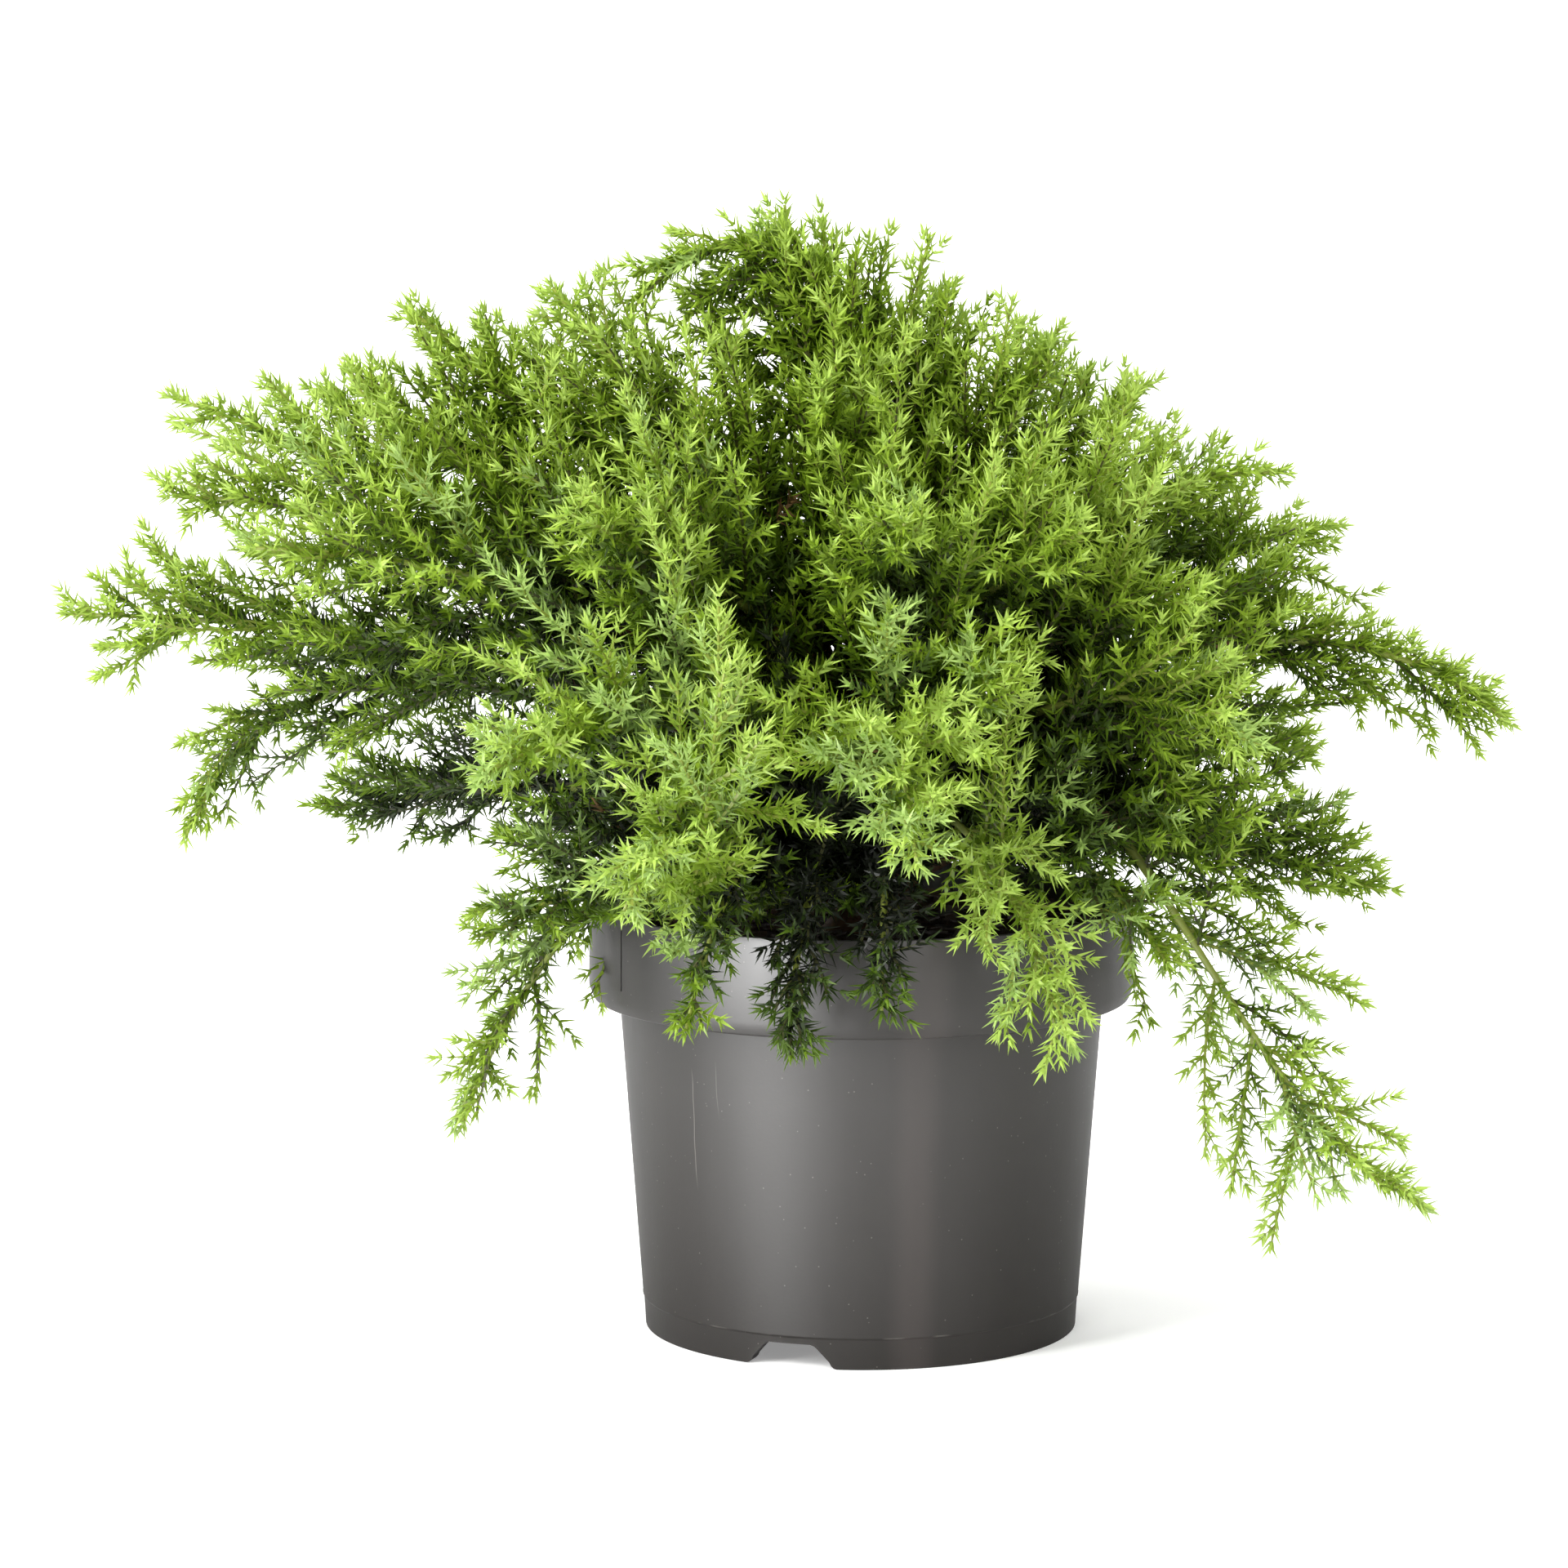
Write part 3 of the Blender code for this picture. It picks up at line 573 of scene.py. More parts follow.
def tube(points, tangents, side, radii, sides, relief=0.0):
    # rings square to the path, closed at both ends; relief pushes long ridges out of the round
    across = unit(side - tangents * (tangents @ side)[:, None])
    third = np.cross(tangents, across)
    turn = np.linspace(0, 2 * math.pi, sides, endpoint=False)
    ring = across[:, None] * np.cos(turn)[None, :, None] + third[:, None] * np.sin(turn)[None, :, None]
    reach = np.repeat(np.asarray(radii)[:, None], sides, 1)
    if relief:
        for i in range(len(points)):
            for j in range(sides):
                q = points[i] * 140 + ring[i, j] * 9
                ridge = noise.noise(Vector((q[0], q[1], q[2] * 0.35)))
                fleck = noise.noise(Vector(points[i] * 600 + ring[i, j] * 31))
                reach[i, j] += relief * (0.8 * ridge + 0.25 * fleck)
    body = points[:, None] + ring * reach[..., None]
    count = len(points)
    vertices = np.concatenate([body.reshape(-1, 3), points[:1], points[-1:]])
    i, j = np.meshgrid(np.arange(count - 1), np.arange(sides), indexing="ij")
    a, b = i * sides + j, i * sides + (j + 1) % sides
    c, d = a + sides, b + sides
    walls = np.stack([np.stack([a, b, d], -1), np.stack([a, d, c], -1)], 2).reshape(-1, 3)
    j = np.arange(sides)
    foot = np.stack([np.full(sides, count * sides), (j + 1) % sides, j], -1)
    last = (count - 1) * sides
    head = np.stack([np.full(sides, count * sides + 1), last + j, last + (j + 1) % sides], -1)
    return vertices, np.concatenate([walls, foot, head])


def joinArrays(parts):
    points, triangles, count = [], [], 0
    for vertices, faces in parts:
        points.append(vertices)
        triangles.append(faces + count)
        count += len(vertices)
    return np.concatenate(points), np.concatenate(triangles)


bark = barkMaterial()
heights = np.linspace(trunk["foot"], trunk["top"], trunk["rings"])
axis = np.array([trunkAxis(h) for h in heights])
radii = [trunkRadius(h) * (1 + 0.10 * math.sin(h / mm / 5)) * (1 if h < trunk["top"] - 2 * mm else 0.8)
         for h in heights]
vertices, faces = tube(axis, np.tile((0.0, 0, 1), (len(axis), 1)), np.array((1.0, 0, 0)), radii,
                       trunk["sides"], trunk["relief"])
settle(meshFromArrays("trunkBark", vertices, faces, bark, smooth=True), "bark", "trunk")
for one in allLimbs:
    if one.bare:
        s = np.linspace(-0.015, one.bare + 0.02, 34)
        swell = [one.radius(max(t, 0)) * (1 + 0.35 * math.exp(-max(t, 0) * 26)) for t in s]
        vertices, faces = tube(one.point(s), one.tangent(s), one.side, swell, 12, 0.3 * mm)
        made = meshFromArrays(f"boughBark_{one.name}", vertices, faces, bark, smooth=True)
        settle(made, "bark", f"bough_{one.name}")
print("bark on the trunk and", len(boughNodes), "boughs")


# sprays: side shoots on each limb, twigs on each side shoot, whorls of needles on both

spray = {
    "boughShare": 0.5,            # needles start this share of the way along a bare bough
    "directStart": 0.08,          # and here on a limb that has no bare bough
    "shootSpacing": 7.0 * mm,
    "shootAngle": 40,             # degrees off the limb
    "shootLength": 80 * mm,
    "shootShortest": 5 * mm,
    "lastShoot": 3 * mm,          # side shoots end this far past the limb's tip
    "rolls": (25, 155, 90, -15, 195, 60, 122, 262),      # where round the limb the side shoots leave, in turn
    "lift": 0.20, "hang": -0.14,  # how the side shoots curve up, and down on the hanging limbs
    "twigSpacing": 5.7 * mm,
    "twigAngle": 40,
    "twigLength": 23 * mm,
    "twigShortest": 6 * mm,
    "stemSpacing": 4.6 * mm,      # short twigs right on the limbs
    "stemTwig": (7, 15),          # mm
    "whorl": 3.1 * mm,            # between whorls of three needles, outside and deep inside
    "innerWhorl": 3.8 * mm,
    "needleLength": 7.2 * mm,
    "needleWidth": 1.45 * mm,
    "spread": (58, 34),           # degrees off the twig, low down and at its starry tip
    "perPiece": 45000,            # needles in one piece, so that it stays under its count of triangles
}
tints = {   # dealt out by spray, deep inside to fresh outside: the deep ones partly the older inner green, partly painted shade
    "night": "#151E08",
    "deep": "#2A3C0B",
    "shade": "#3F570D",
    "moss": "#577311",
    "mid": "#6E8B1A",
    "leaf": "#839F29",
    "fresh": "#97B33F",
    "bright": "#A6C156",
    "blue": "#9EBA62",
    "blueShade": "#637C35",
    "dead": "#68502E",
}
order = list(tints)[:8]     # from night to bright
lean = {    # tint shifts by limb: partly fresher and older growth, partly painted shade on the low and hanging limbs under the crown and over the rim, and painted light on the front ones
    "front_left": 0.12, "front_centre": 0.2, "front_mid": 0.16, "front_right_hang": 0.24,
    "right_arch": 0.16, "front_upright": 0.2, "front_left_up": 0.02, "front_inner": 0.02,
    "front_right_up": 0.02, "top_arch": -0.08, "left_reach": -0.01, "left_high": -0.02, "left_mid": -0.03,
    "left_top": -0.02, "left_droop": -0.07, "left_back_low": -0.26, "left_skirt": -0.11, "left_hang": -0.08,
    "low_front": -0.28, "low_front_left": -0.24, "low_front_right": -0.26, "low_right": -0.26,
    "front_right_low": -0.04, "right_low": -0.08, "rim_hang": -0.44, "rim_hang_left": -0.25,
    "rim_hang_right": -0.42, "right_back_low": -0.04, "right_reach": -0.02, "right_mid": -0.04,
    "right_upper": -0.02, "right_hang": -0.04, "back_low": -0.1,
}
slim = {    # limbs with shorter side shoots than the rest, or longer ones
    "front_upright": 0.6, "rim_hang": 0.42, "rim_hang_right": 0.3, "rim_hang_left": 0.26,
    "front_centre": 0.7, "front_right_hang": 0.75, "left_hang": 0.8, "right_hang": 0.8, "right_reach": 1.45,
    "top_arch": 1.2,
}
dense = {   # limbs with more of them than the rest, or fewer
    "low_front": 2.2, "low_front_left": 2.0, "low_front_right": 2.0, "low_right": 1.8, "right_low": 1.6,
    "top_left_inner": 1.1, "top_arch": 2.2, "left_back_low": 1.3, "rim_hang": 1.7, "right_mid": 1.3,
    "rim_hang_right": 1.3, "rim_hang_left": 1.3, "right_reach": 2.3, "right_arch": 1.35, "top_peak": 0.8,
    "top_back": 0.8,
}
hangers = ("left_droop", "left_hang", "right_hang", "front_right_hang", "rim_hang", "rim_hang_left",
           "rim_hang_right", "top_arch")
extras = (  # single long side shoots: the limb, then share along it, way and length in mm of each
    ("right_hang", (0.7, (-0.11, 0.0, -1.0), 54), (0.8, (-0.27, 0.0, -1.0), 44),
     (0.56, (0.92, -0.1, -0.36), 70)),
    ("left_reach", (0.84, (-0.8, 0.1, -0.6), 42), (0.34, (-0.75, -0.6, 0.25), 74),
     (0.48, (-0.85, -0.5, 0.1), 62), (0.42, (-0.75, -0.4, -0.3), 64)),
    ("left_mid", (0.3, (-0.7, -0.65, 0.0), 76), (0.42, (-0.8, -0.5, -0.2), 66)),
    ("left_inner", (0.3, (-0.7, -0.7, 0.05), 76), (0.45, (-0.8, -0.5, -0.2), 62)),
    ("left_skirt", (0.4, (-0.8, -0.4, 0.35), 62)),
    ("left_droop", (0.45, (-0.8, -0.2, 0.1), 64), (0.55, (-0.75, -0.3, -0.35), 58)),
    ("top_arch", (0.5, (-0.95, -0.2, 0.1), 46), (0.56, (-0.9, 0.2, -0.25), 50),
     (0.6, (-0.95, -0.1, 0.0), 46), (0.64, (-0.85, -0.2, -0.4), 48), (0.68, (-0.95, 0.25, -0.15), 42),
     (0.72, (-0.85, -0.2, -0.35), 40), (0.76, (-0.8, 0.1, -0.5), 38), (0.82, (-0.95, -0.1, 0.1), 32),
     (0.86, (-0.85, 0.1, -0.4), 30), (0.92, (-0.7, -0.1, -0.6), 26), (0.44, (-0.7, -0.3, -0.3), 46),
     (0.52, (-0.75, 0.0, -0.45), 46)),
    ("front_centre", (0.55, (0.75, -0.55, 0.25), 62), (0.7, (0.9, -0.3, -0.05), 55)),
    ("front_mid", (0.5, (-0.8, -0.5, 0.2), 60), (0.68, (-0.9, -0.25, 0.0), 52)),
    ("front_upright", (0.3, (0.7, -0.3, 0.3), 50)),
    ("right_reach", (0.82, (0.9, 0.0, 0.25), 34), (0.7, (0.85, 0.0, 0.5), 44),
     (0.78, (0.75, 0.0, -0.75), 40), (0.6, (0.85, -0.2, 0.55), 56), (0.5, (0.8, 0.1, 0.65), 62),
     (0.44, (0.8, -0.2, 0.7), 72)),
    ("right_mid", (0.78, (0.8, -0.1, -0.35), 46)),
    ("right_reach", (0.56, (0.85, 0.2, 0.75), 64), (0.64, (0.85, -0.1, 0.7), 58),
     (0.68, (0.8, 0.15, 0.75), 50), (0.74, (0.85, -0.1, 0.6), 44), (0.54, (0.8, -0.2, -0.45), 46),
     (0.62, (0.8, 0.1, -0.5), 44), (0.86, (0.85, -0.1, 0.5), 30)),
    ("right_arch", (0.42, (0.75, -0.35, -0.5), 62), (0.55, (0.7, -0.1, -0.6), 58),
     (0.66, (0.35, -0.1, -0.8), 52), (0.35, (-0.1, -0.3, -1.0), 50), (0.48, (0.1, -0.2, -1.0), 50)),
    ("right_hang", (0.3, (0.3, -0.75, 0.35), 52), (0.4, (0.75, -0.5, 0.3), 58),
     (0.34, (-0.3, -0.8, 0.2), 48), (0.48, (0.6, -0.5, 0.45), 50)),
    ("right_mid", (0.9, (0.8, 0.1, -0.5), 44), (0.62, (0.8, -0.3, -0.3), 50)),
    ("front_right_hang", (0.8, (-0.55, -0.2, -0.8), 26)),
)
openStems = ("right_arch", "right_hang")        # no side shoots stand before these
shownStems = (*openStems, "front_upright", "front_right_hang")      # limbs whose stems stay in sight


def insidePot(points):
    # in the collar's wall or body, or down in the soil
    level = np.hypot(points[..., 0], points[..., 1])
    z = points[..., 2]
    inWall = (z < pot["height"] + 1.5 * mm) & (level < pot["collarRadius"] + 2 * mm) & (level > 88 * mm)
    inSoil = (z < soil["top"] + 3 * mm) & (level <= 88 * mm)
    return inWall | inSoil


class Sprays:
    # shoots of one order as arrays: point = root + direction * length * u + bend * length * u * u
    def __init__(self, root, direction, bend, length, glow, kind):
        self.root, self.direction, self.bend = np.array(root), np.array(direction), np.array(bend)
        self.length = np.array(length)
        self.glow = np.array(glow)       # how fresh its green is, 0 to 1, with painted light and shade added by limb
        self.kind = np.array(kind)       # 0 green, 1 bluish, 2 dead
        self.open = np.ones(len(self.length))         # share of the sky that it sees

    def point(self, i, u):
        reach = self.length[i][:, None]
        return self.root[i] + self.direction[i] * reach * u[:, None] + self.bend[i] * reach * (u * u)[:, None]

    def tangent(self, i, u):
        return unit(self.direction[i] + self.bend[i] * 2 * u[:, None])

    def places(self, u):
        every = np.arange(len(self.length))
        return self.point(every, np.full(len(every), u))

    def only(self, keep):
        return Sprays(self.root[keep], self.direction[keep], self.bend[keep], self.length[keep],
                      self.glow[keep], self.kind[keep])


def squareTo(along):
    # two ways square to a path and to each other
    guide = unit(np.cross(along, np.array((0.31, 0.21, 0.93))))
    return guide, np.cross(along, guide)


def around(one, s, roll, angle):
    # the way a shoot leaves a limb, and its outward side
    tangent = one.tangent(s)
    across = unit(one.side - tangent * (one.side @ tangent))
    outward = across * math.cos(roll) + np.cross(tangent, across) * math.sin(roll)
    return tangent, outward, unit(tangent * math.cos(angle) + outward * math.sin(angle))


def crownTop(points):
    # the crown falls off fast to the right and hardly to the left
    x, reach = points[:, 0], np.hypot(points[:, 0], points[:, 1])
    sideways = (x / np.maximum(reach, mm)) ** 2
    fall = np.where(x > 0, 175 * (reach / 0.226) ** 1.4, 70 * (reach / 0.245) ** 1.6)
    dips = 8 * (1 + np.sin(220 * x + 1.7 * np.sin(50 * points[:, 1])))    # single tips stand out of it
    return (389 - sideways * fall - (1 - sideways) * 100 * (reach / 0.2) ** 1.4 - dips) * mm


def growShoots():
    rows = []
    for one in allLimbs:
        start = one.bare * spray["boughShare"] if one.bare else spray["directStart"]
        count = int(one.length * (1 - start) / spray["shootSpacing"] * dense.get(one.name, 1))
        # the limb's tint shift, part of it painted light and shade
        fresh = rng.uniform(-0.03, 0.03) + lean.get(one.name, 0)
        for i in range(count):
            along = (i + rng.uniform(0.2, 0.8)) / count
            s = start + (1 - start) * along
            roll = math.radians(spray["rolls"][i % len(spray["rolls"])] + rng.normal(0, 18))
            if one.name == "left_reach" and i % 2:                            # as many of these grow downward
                roll = -roll
            angle = math.radians(spray["shootAngle"] + rng.normal(0, 6))
            tangent, outward, direction = around(one, s, roll, angle)
            full = min(1.0, 0.7 + along * 1.2) * (1 - 0.6 * along ** 1.3) * slim.get(one.name, 1)
            full *= rng.uniform(0.35, 0.62) if rng.random() < 0.25 else rng.uniform(0.78, 1.1)
            length = min(spray["shootLength"] * full, one.length * (1 - s) * 0.55 + spray["lastShoot"])
            hanging = one.name in hangers and tangent[2] < 0.15
            lift = spray["hang"] if hanging else spray["lift"] * (1 - 0.6 * along)
            bend = tangent * 0.2 - outward * 0.12 + np.array((0, 0, lift)) + rng.normal(0, 0.05, 3)
            root = one.point(s)
            low = root[1] < -0.04 and root[2] < 0.25     # most bluish sprays hang low in front
            kind = 1 if rng.random() < (0.34 if low else 0.06) else 0
            covers = one.name in openStems and direction[1] < -0.8 and s < 0.8       # it would hide the stem
            if length > spray["shootShortest"] and not covers:
                # shoots further out along the limb get a little brighter tint: fresh growth, and painted
                # light on the outside of the crown
                rows.append((root, direction, bend, length, fresh + 0.06 * s + rng.normal(0, 0.04), kind))
        end = one.handles[3]
        # plumes that fill the middle, more of them on high limbs and in front
        for s in rng.uniform(0.2, 0.62, 1 + int(end[2] > 0.2) + int(end[1] < -0.05)):
            level = one.tangent(s) * (1, 1, 0)
            way = unit(np.array((0, 0, 1.0)) + level * rng.uniform(0.2, 0.6) + rng.normal(0, 0.16, 3))
            rows.append((one.point(s), way, level * 0.1, rng.uniform(55, 95) * mm,
                         fresh + rng.normal(0, 0.04), 0))
    for name, *single in extras:
        one = allLimbs[list(limbs).index(name)]
        for s, way, length in single:
            rows.append((one.point(s), unit(np.array(way)), rng.normal(0, 0.08, 3), length * mm,
                         lean.get(name, 0), 0))
    made = Sprays(*zip(*rows))
    room = crownTop(made.places(1.0)) - made.root[:, 2]
    rise = made.places(1.0)[:, 2] - made.root[:, 2]
    made.length *= np.where(rise > room, np.clip(room / np.maximum(rise, mm), 0.2, 1), 1)
    return made.only(~(insidePot(made.places(0.5)) | insidePot(made.places(1.0))))


def growTwigs(shoots):
    # left and right in turn along each side shoot, long at its foot and short at its tip
    counts = np.maximum(1, (shoots.length * 0.86 / spray["twigSpacing"]).astype(int))
    i = np.repeat(np.arange(len(counts)), counts)
    step = np.concatenate([np.arange(c) for c in counts])
    total = len(i)
    u = 0.06 + 0.88 * (step + rng.uniform(0.25, 0.75, total)) / counts[i]
    up = np.array((0.0, 0.0, 1.0)) + rng.normal(0, 0.25, (len(counts), 3))
    flat = unit(np.cross(shoots.direction, up))
    upright = np.cross(flat, shoots.direction)
    along = shoots.tangent(i, u)
    roll = rng.normal(0.3, 0.6, total)
    side = np.where(step % 2, 1.0, -1.0)
    outward = flat[i] * (side * np.cos(roll))[:, None] + upright[i] * np.sin(roll)[:, None]
    angle = np.radians(spray["twigAngle"] + rng.normal(0, 6, total))
    direction = unit(along * np.cos(angle)[:, None] + outward * np.sin(angle)[:, None])
    size = spray["twigLength"] * (1 - 0.60 * u) * rng.uniform(0.55, 1.15, total)
    size *= np.minimum(1, 0.5 + shoots.length[i] / (70 * mm))
    size = np.maximum(size, spray["twigShortest"])
    bend = along * 0.10 + np.array((0, 0, 0.06)) + rng.normal(0, 0.04, (total, 3))
    # twigs further out along a shoot get brighter tints: fresh growth, and painted shade on the inner part of
    # each spray
    glow = shoots.glow[i] + 0.15 * (u - 0.35) + rng.normal(0, 0.04, total)
    kind = np.where((rng.random(total) < 0.004) & (u < 0.5), 2, shoots.kind[i])
    made = Sprays(shoots.point(i, u), direction, bend, size, glow, kind)
    ends = made.places(1.0)
    return made.only(~insidePot(ends) & (ends[:, 2] < crownTop(ends) + 9 * mm))


def growOnStems():
    # short twigs that clothe the limbs, and the needles on the last stretch of each limb's own stem
    rows = []
    for one in allLimbs:
        start = one.bare * 0.8 if one.bare else 0.1
        count = int(one.length * (0.94 - start) / spray["stemSpacing"])
        for i in range(count):
            s = start + (0.94 - start) * (i + rng.uniform(0, 1)) / count
            if one.name in shownStems and rng.random() < 0.75:
                continue
            roll = 2.4 * i + rng.normal(0, 0.4)
            tangent, outward, direction = around(one, s, roll, math.radians(rng.uniform(38, 60)))
            length = rng.uniform(*spray["stemTwig"]) * mm
            glow = lean.get(one.name, 0) + rng.normal(0, 0.05)
            rows.append((one.point(s), direction, tangent * 0.15, length, glow, 0))
        places = np.linspace(0.65 if one.name in openStems else 0.45, 1.0, 18)
        for s, after in zip(places, places[1:]):
            step = one.point(after) - one.point(s)
            glow = 0.05 + lean.get(one.name, 0)
            rows.append((one.point(s), unit(step), np.zeros(3), np.linalg.norm(step), glow, 0))
    made = Sprays(*zip(*rows))
    return made.only(~insidePot(made.places(1.0)))


sky = {
    "cell": 10 * mm, "shape": (64, 54, 46), "low": (-0.32, -0.27, 0.0),   # cells that needles are counted in
    "whorl": 2.6,                 # mm from one whorl of three needles to the next, for the count
    "places": (0.2, 0.5, 0.8),    # where along a shoot its needles are counted
    "steps": 15,
    "dimming": 0.042,             # what one needle takes away
}


def skyCell(points):
    cells = ((points - np.array(sky["low"])) / sky["cell"]).astype(int)
    return tuple(np.clip(cells, 0, np.array(sky["shape"]) - 1).T)


def seeSky(groups):
    # each shoot looks out 26 ways through the cells
    grid = np.zeros(sky["shape"])
    for group in groups:
        for u in sky["places"]:
            np.add.at(grid, skyCell(group.places(u)), group.length / mm * 3 / sky["whorl"] / 3)
    ways = unit(np.array([(x, y, z) for x in (-1, 0, 1) for y in (-1, 0, 1) for z in (-1, 0, 1)
                          if x or y or z], float))
    share = 1 + 0.7 * ways[:, 2]                                # more light from above than from below
    for group in groups:
        eye = group.places(0.75)
        group.open = np.zeros(len(eye))
        for way, part in zip(ways, share / share.sum()):
            through = np.zeros(len(eye))
            for k in range(1, sky["steps"]):
                through += grid[skyCell(eye + way * (k * sky["cell"]))]
            group.open += part * np.exp(-sky["dimming"] * through)


def whorls(group, first):
    # where each whorl of three sits: shoot index, place along it and angle round it, one entry a needle
    far = np.clip(group.open * 3.5, 0, 1)
    spacing = spray["innerWhorl"] + (spray["whorl"] - spray["innerWhorl"]) * far
    counts = np.maximum(2, (group.length * (1 - first) / spacing + 0.5).astype(int))
    index = np.repeat(np.arange(len(counts)), counts + 1)
    step = np.concatenate([np.arange(c + 1) for c in counts])
    u = first + (1 - first) * (step + 0.5) / counts[index]
    u = np.where(step == counts[index], 0.995, u)                         # the bud closes the twig
    index, step, u = np.repeat(index, 3), np.repeat(step, 3), np.repeat(u, 3)
    turn = np.tile(np.arange(3), len(index) // 3) * 2 * math.pi / 3 + step * math.pi / 3
    return index, u, turn + rng.normal(0, 0.22, len(index))


def needlesOf(group, first, size):
    # awls with three long sides and a small foot that is sunk in the twig
    index, u, turn = whorls(group, first)
    total = len(u)
    base = group.point(index, u)
    along = group.tangent(index, u)
    guide, other = squareTo(along)
    outward = guide * np.cos(turn)[:, None] + other * np.sin(turn)[:, None]
    nearTip = np.clip((u - 0.6) / 0.39, 0, 1)
    wide, closed = spray["spread"]
    spread = np.radians(wide + (closed - wide) * nearTip + rng.normal(0, 7, total))
    direction = along * np.cos(spread)[:, None] + outward * np.sin(spread)[:, None]
    length = spray["needleLength"] * size * (1 - 0.2 * nearTip) * rng.uniform(0.8, 1.15, total)
    width = spray["needleWidth"] * rng.uniform(0.85, 1.1, total)
    width *= 1.35 - 0.35 * np.clip(group.open[index] * 3.5, 0, 1)         # fewer and broader deep inside
    side = unit(np.cross(along, direction))
    keel = np.cross(side, direction)
    foot = base + direction * (0.25 * mm)
    half = side * (width / 2)[:, None]
    tip = base + direction * length[:, None] - keel * (length * 0.05)[:, None]
    points = np.stack([foot + half, foot - half, foot + keel * (width * 0.5)[:, None], tip], 1)
    # painted light and shade in the tints: brighter toward each tip, partly fresh growth; darker the less sky
    # a shoot sees, partly the older green of inner needles
    glow = group.glow[index] + 0.22 * (u - 0.5) + 0.06 * nearTip + rng.normal(0, 0.03, total)
    lift = 0.30 * np.clip((base[:, 2] - 0.24) / 0.1, 0, 1)                # painted light: brighter tints high in the crown, where light comes through
    seen = group.open[index] ** 0.55
    return points, glow + 0.95 * seen + lift * (1 - seen), group.kind[index]


shoots = growShoots()
twigs = growTwigs(shoots)
onStems = growOnStems()
seeSky([shoots, twigs, onStems])
print("grown:", len(shoots.length), "side shoots,", len(twigs.length), "twigs and", len(onStems.length),
      "on the stems")

sets = [needlesOf(shoots, 0.04, 0.92), needlesOf(twigs, 0.03, 0.96), needlesOf(onStems, 0.0, 0.9)]
corners, glow, kind = (np.concatenate(some) for some in zip(*sets))
keep = ~insidePot(corners[:, 3])
corners, glow, kind = corners[keep], glow[keep], kind[keep]
level = np.clip(glow * len(order), 0, len(order) - 1).astype(int)
tintOf = np.array(order, dtype=object)[level]
tintOf[(kind == 1) & (level >= 5)] = "blue"
tintOf[(kind == 1) & ((level == 3) | (level == 4))] = "blueShade"
tintOf[kind == 2] = "dead"
awl = np.array([(0, 1, 3), (1, 2, 3), (2, 0, 3), (0, 2, 1)])
for name, color in tints.items():
    mine = corners[tintOf == name]
    # awl needles with a waxy skin: soft sheen, plain colour
    mat = newMaterial(f"needle_{name}", color, 0.6, 0.14)[0]
    most = spray["perPiece"]
    for part in range(0, len(mine), most):
        chunk = mine[part:part + most]
        faces = (np.arange(len(chunk))[:, None, None] * 4 + awl[None]).reshape(-1, 3)
        suffix = f"_{part // most + 1}" if len(mine) > most else ""
        made = meshFromArrays(f"needles_{name}{suffix}", chunk.reshape(-1, 3), faces, mat)
        settle(made, "foliage", *foliageNodes)
print("needles:", len(corners), {name: int((tintOf == name).sum()) for name in tints})


# wood under the needles

def thinTubes(group, segments, low, high):
    # three-sided tapering shoots for a whole group at once
    count = len(group.length)
    u = np.linspace(0, 0.97, segments + 1)
    index = np.repeat(np.arange(count), segments + 1)
    place = np.tile(u, count)
    points = group.point(index, place)
    along = group.tangent(index, place)
    guide, other = squareTo(along)
    size = (low + (high - low) * place)[:, None]
    turn = [2 * math.pi * k / 3 for k in range(3)]
    rings = np.stack([points + (guide * math.cos(t) + other * math.sin(t)) * size for t in turn], 1)
    body = rings.reshape(-1, 3)
    one = []
    for r in range(segments):
        for k in range(3):
            a, b = r * 3 + k, r * 3 + (k + 1) % 3
            one += [(a, b, b + 3), (a, b + 3, a + 3)]
    one += [(0, 2, 1), (segments * 3, segments * 3 + 1, segments * 3 + 2)]
    faces = (np.arange(count)[:, None, None] * 3 * (segments + 1) + np.array(one)[None]).reshape(-1, 3)
    return body, faces


def thinSpikes(group, radius):
    # the last twigs: three long sides that meet at the tip, and a foot
    every = np.arange(len(group.length))
    along = group.tangent(every, np.full(len(every), 0.5))
    guide, other = squareTo(along)
    corners = [group.root + (guide * math.cos(t) + other * math.sin(t)) * radius for t in (0, 2.0944, 4.1888)]
    body = np.stack([*corners, group.point(every, np.full(len(every), 0.97))], 1)
    return body.reshape(-1, 3), (every[:, None, None] * 4 + awl[None]).reshape(-1, 3)


youngWood = newMaterial("youngShootBark", "#87933A", 0.65, 0.2)[0]    # green-yellow skin of this year's wood
shadedWood = newMaterial("shadedShootBark", "#46491C", 0.7, 0.25)[0]  # the same wood inside, dull olive
ripeWood = newMaterial("ripeShootBark", "#7A5530", 0.75, 0.3)[0]      # ripening red-brown wood
for name, mat, inSun in (("sunlit", youngWood, True), ("shaded", shadedWood, False)):
    some = [group.only((group.glow + 0.97 * group.open ** 0.55 > 0.6) == inSun) for group in (shoots, twigs)]
    made = meshFromArrays(f"{name}ShootWood", *thinTubes(some[0], 4, 0.8 * mm, 0.35 * mm), mat)
    settle(made, "foliage", *foliageNodes)
    made = meshFromArrays(f"{name}TwigWood", *thinSpikes(some[1], 0.5 * mm), mat)
    settle(made, "foliage", *foliageNodes)
stems = {"youngStems": [], "ripeStems": []}
for one in allLimbs:
    middle = one.bare + (1 - one.bare) * (0.05 if one.name in shownStems else 0.4)
    for name, low, high in (("ripeStems", one.bare, middle), ("youngStems", middle - 0.01, 0.99)):
        s = np.linspace(low, high, 14)
        thick = 0.7 if one.name in shownStems else 1
        stems[name].append(tube(one.point(s), one.tangent(s), one.side,
                                [one.radius(t) * thick for t in s], 7))
for name, mat in (("ripeStems", ripeWood), ("youngStems", youngWood)):
    settle(meshFromArrays(name, *joinArrays(stems[name]), mat, smooth=True), "foliage", *foliageNodes)
print("wood of the sprays made")


# stage, light and camera

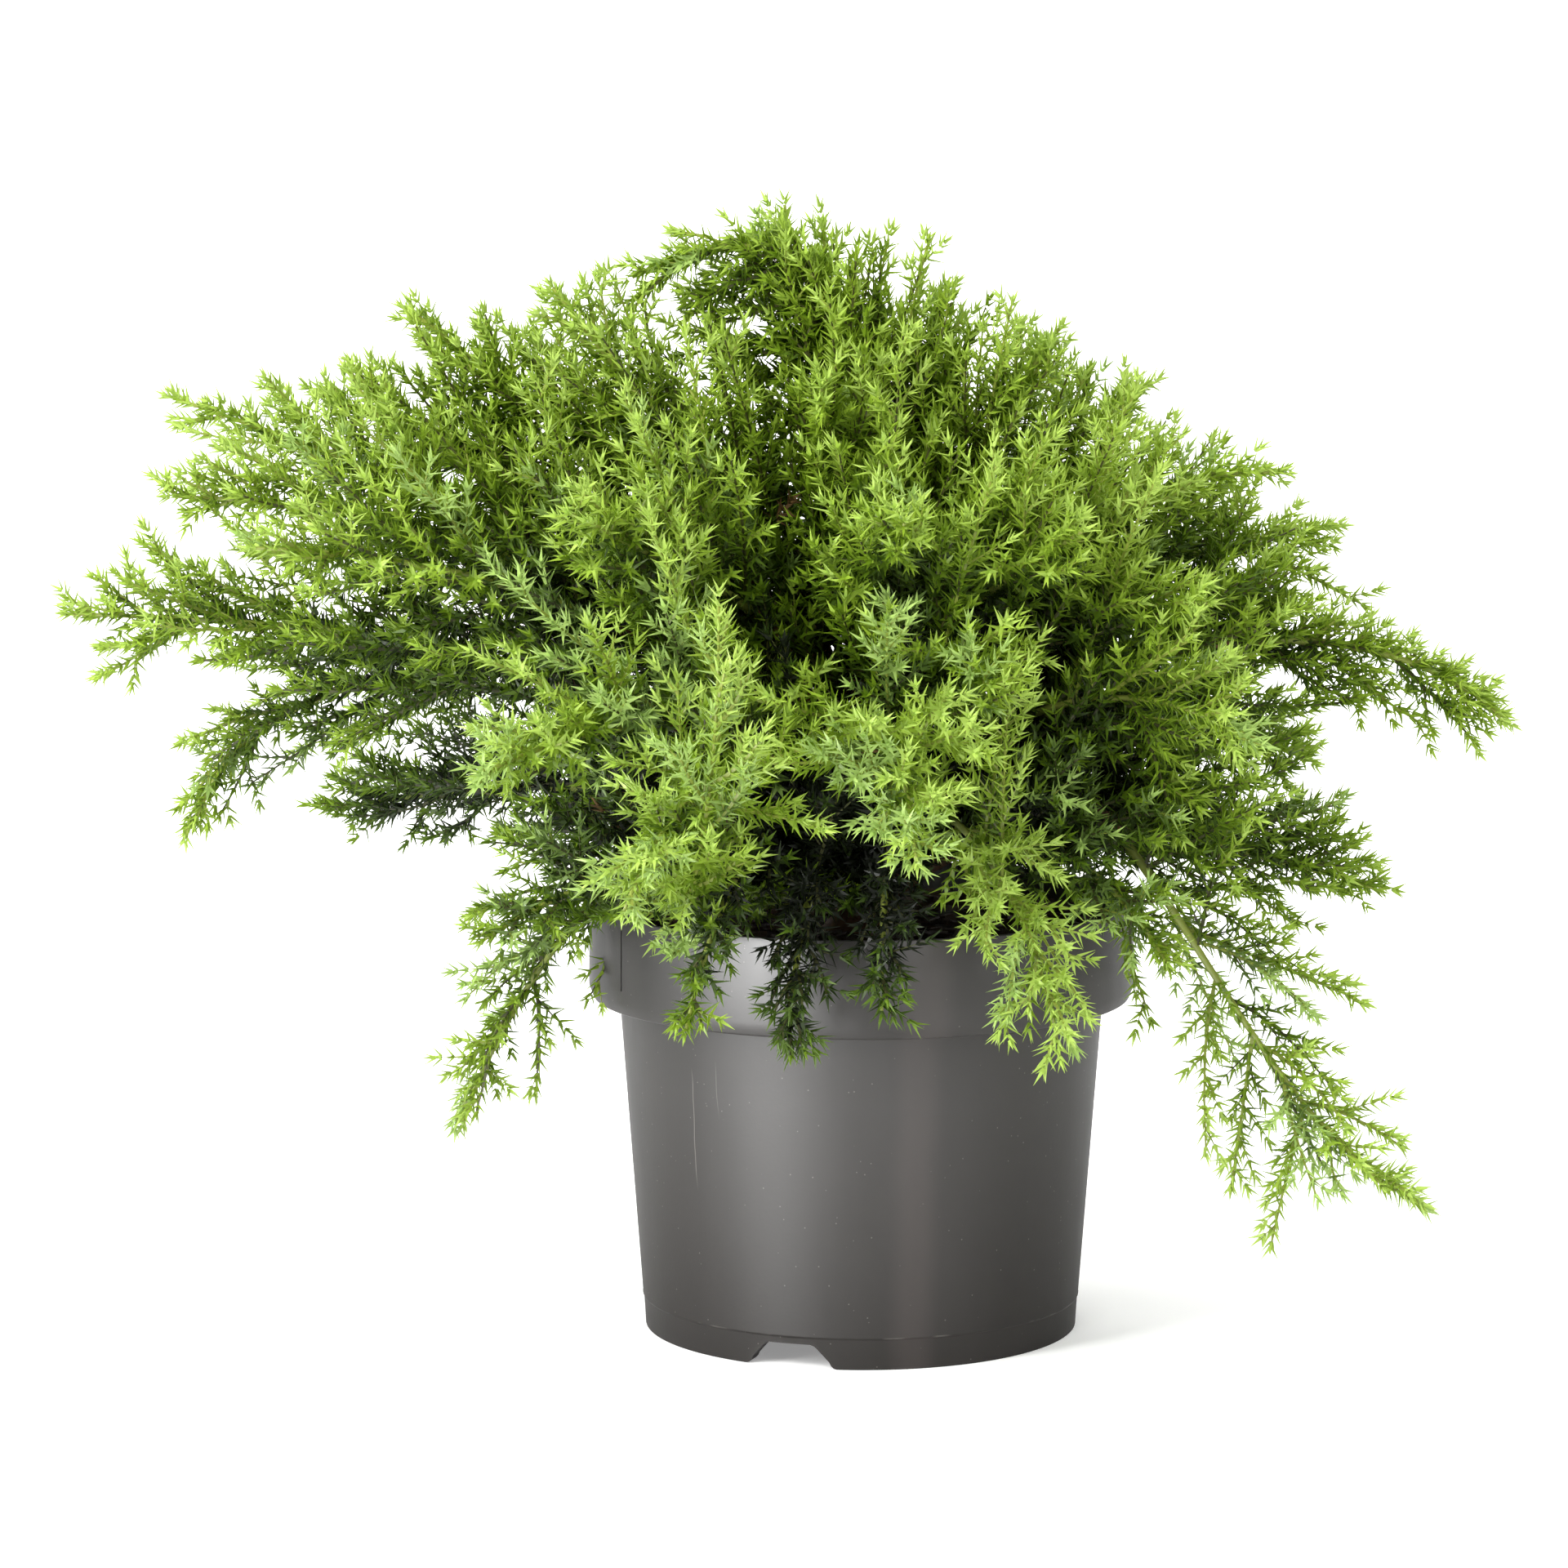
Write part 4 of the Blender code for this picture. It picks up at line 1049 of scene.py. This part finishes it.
studio = {
    "floor": "#F4F4F3", "glow": 0.26, "sky": 0.22,
    "lamps": {      # size, power, place, aim
        "key": ((0.5, 1.5), 55, (-1.45, -1.25, 1.25), (0, 0, 0.2)),
        "front": ((1.0, 0.8), 22, (-0.3, -2.0, 1.9), (0, 0, 0.2)),
        "strip": ((0.07, 0.12), 9.6, (-0.273, -0.345, 0.105), (0, 0, 0.1)),
        "edge": ((0.06, 0.16), 2.2, (0.19, -0.408, 0.15), (0, 0, 0.1)),
        "fill": ((1.2, 1.2), 13, (1.7, -1.5, 0.9), (0, 0, 0.2)),
        "top": ((1.2, 1.2), 14, (0.1, 0.3, 2.0), (0, 0, 0.2)),
        "wall": ((1.6, 1.6), 90, (0, 1.1, 2.2), (0, 3.2, 0.4)),
    },
    "mirrored": ("strip", "edge"),      # seen in the pot's wall only, as tall soft bands
    "cameraPlace": (0.0, -1.8194, 0.4232),      # fitted to the pot's rim, collar and foot in the photo
    "cameraPitch": 0.1274, "cameraYaw": 0.0148,
    "lens": 6460.3 / 1920 * 36,
}


def areaLight(name, size, power, place, aim):
    lamp = bpy.data.lights.new(name, "AREA")
    lamp.shape, lamp.energy = "RECTANGLE", power
    lamp.size, lamp.size_y = size
    obj = bpy.data.objects.new(name, lamp)
    obj.location = place
    obj.rotation_euler = (Vector(aim) - Vector(place)).to_track_quat("-Z", "Y").to_euler()
    bpy.context.scene.collection.objects.link(obj)
    return obj


def buildStage(s):
    # a paper sweep: floor, a wide curve and a wall behind
    deselectAll()
    bpy.ops.mesh.primitive_plane_add(size=8, location=(0, -1, 0))
    floor = bpy.context.object
    floor.name = "paperSweep"
    bpy.ops.object.transform_apply(location=True)
    setMode("EDIT")
    bpy.ops.mesh.select_all(action="DESELECT")
    setMode("OBJECT")
    for edge in floor.data.edges:
        edge.select = all(floor.data.vertices[v].co.y > 2.5 for v in edge.vertices)
    setMode("EDIT")
    bpy.ops.mesh.select_mode(type="EDGE")
    bpy.ops.mesh.extrude_region_move(TRANSFORM_OT_translate={"value": (0, 0, 4)})
    setMode("OBJECT")
    applyModifier(floor, "BEVEL", width=1.5, segments=24, limit_method="ANGLE", affect="EDGES")
    makeActive(floor)
    bpy.ops.object.shade_smooth()
    mat, _, shader = newMaterial("studioPaper", s["floor"], 0.9, 0.1)
    shader.inputs["Emission Color"].default_value = (1, 1, 1, 1)
    shader.inputs["Emission Strength"].default_value = s["glow"]
    floor.data.materials.append(mat)


buildStage(studio)
for name, sizes in studio["lamps"].items():
    lamp = areaLight(name, *sizes)
    if name in studio["mirrored"]:
        lamp.visible_diffuse = False
        lamp.visible_camera = False
world = bpy.data.worlds.new("studio")
world.use_nodes = True
world.node_tree.nodes["Background"].inputs["Color"].default_value = (1, 1, 1, 1)
world.node_tree.nodes["Background"].inputs["Strength"].default_value = studio["sky"]
bpy.context.scene.world = world
bpy.context.scene.view_settings.view_transform = "Standard"

lensData = bpy.data.cameras.new("camera")
lensData.lens, lensData.sensor_width = studio["lens"], 36
camera = bpy.data.objects.new("camera", lensData)
camera.location = studio["cameraPlace"]
camera.rotation_euler = (math.pi / 2 - studio["cameraPitch"], 0, studio["cameraYaw"])
bpy.context.scene.collection.objects.link(camera)
bpy.context.scene.camera = camera
print("stage lit, camera set")
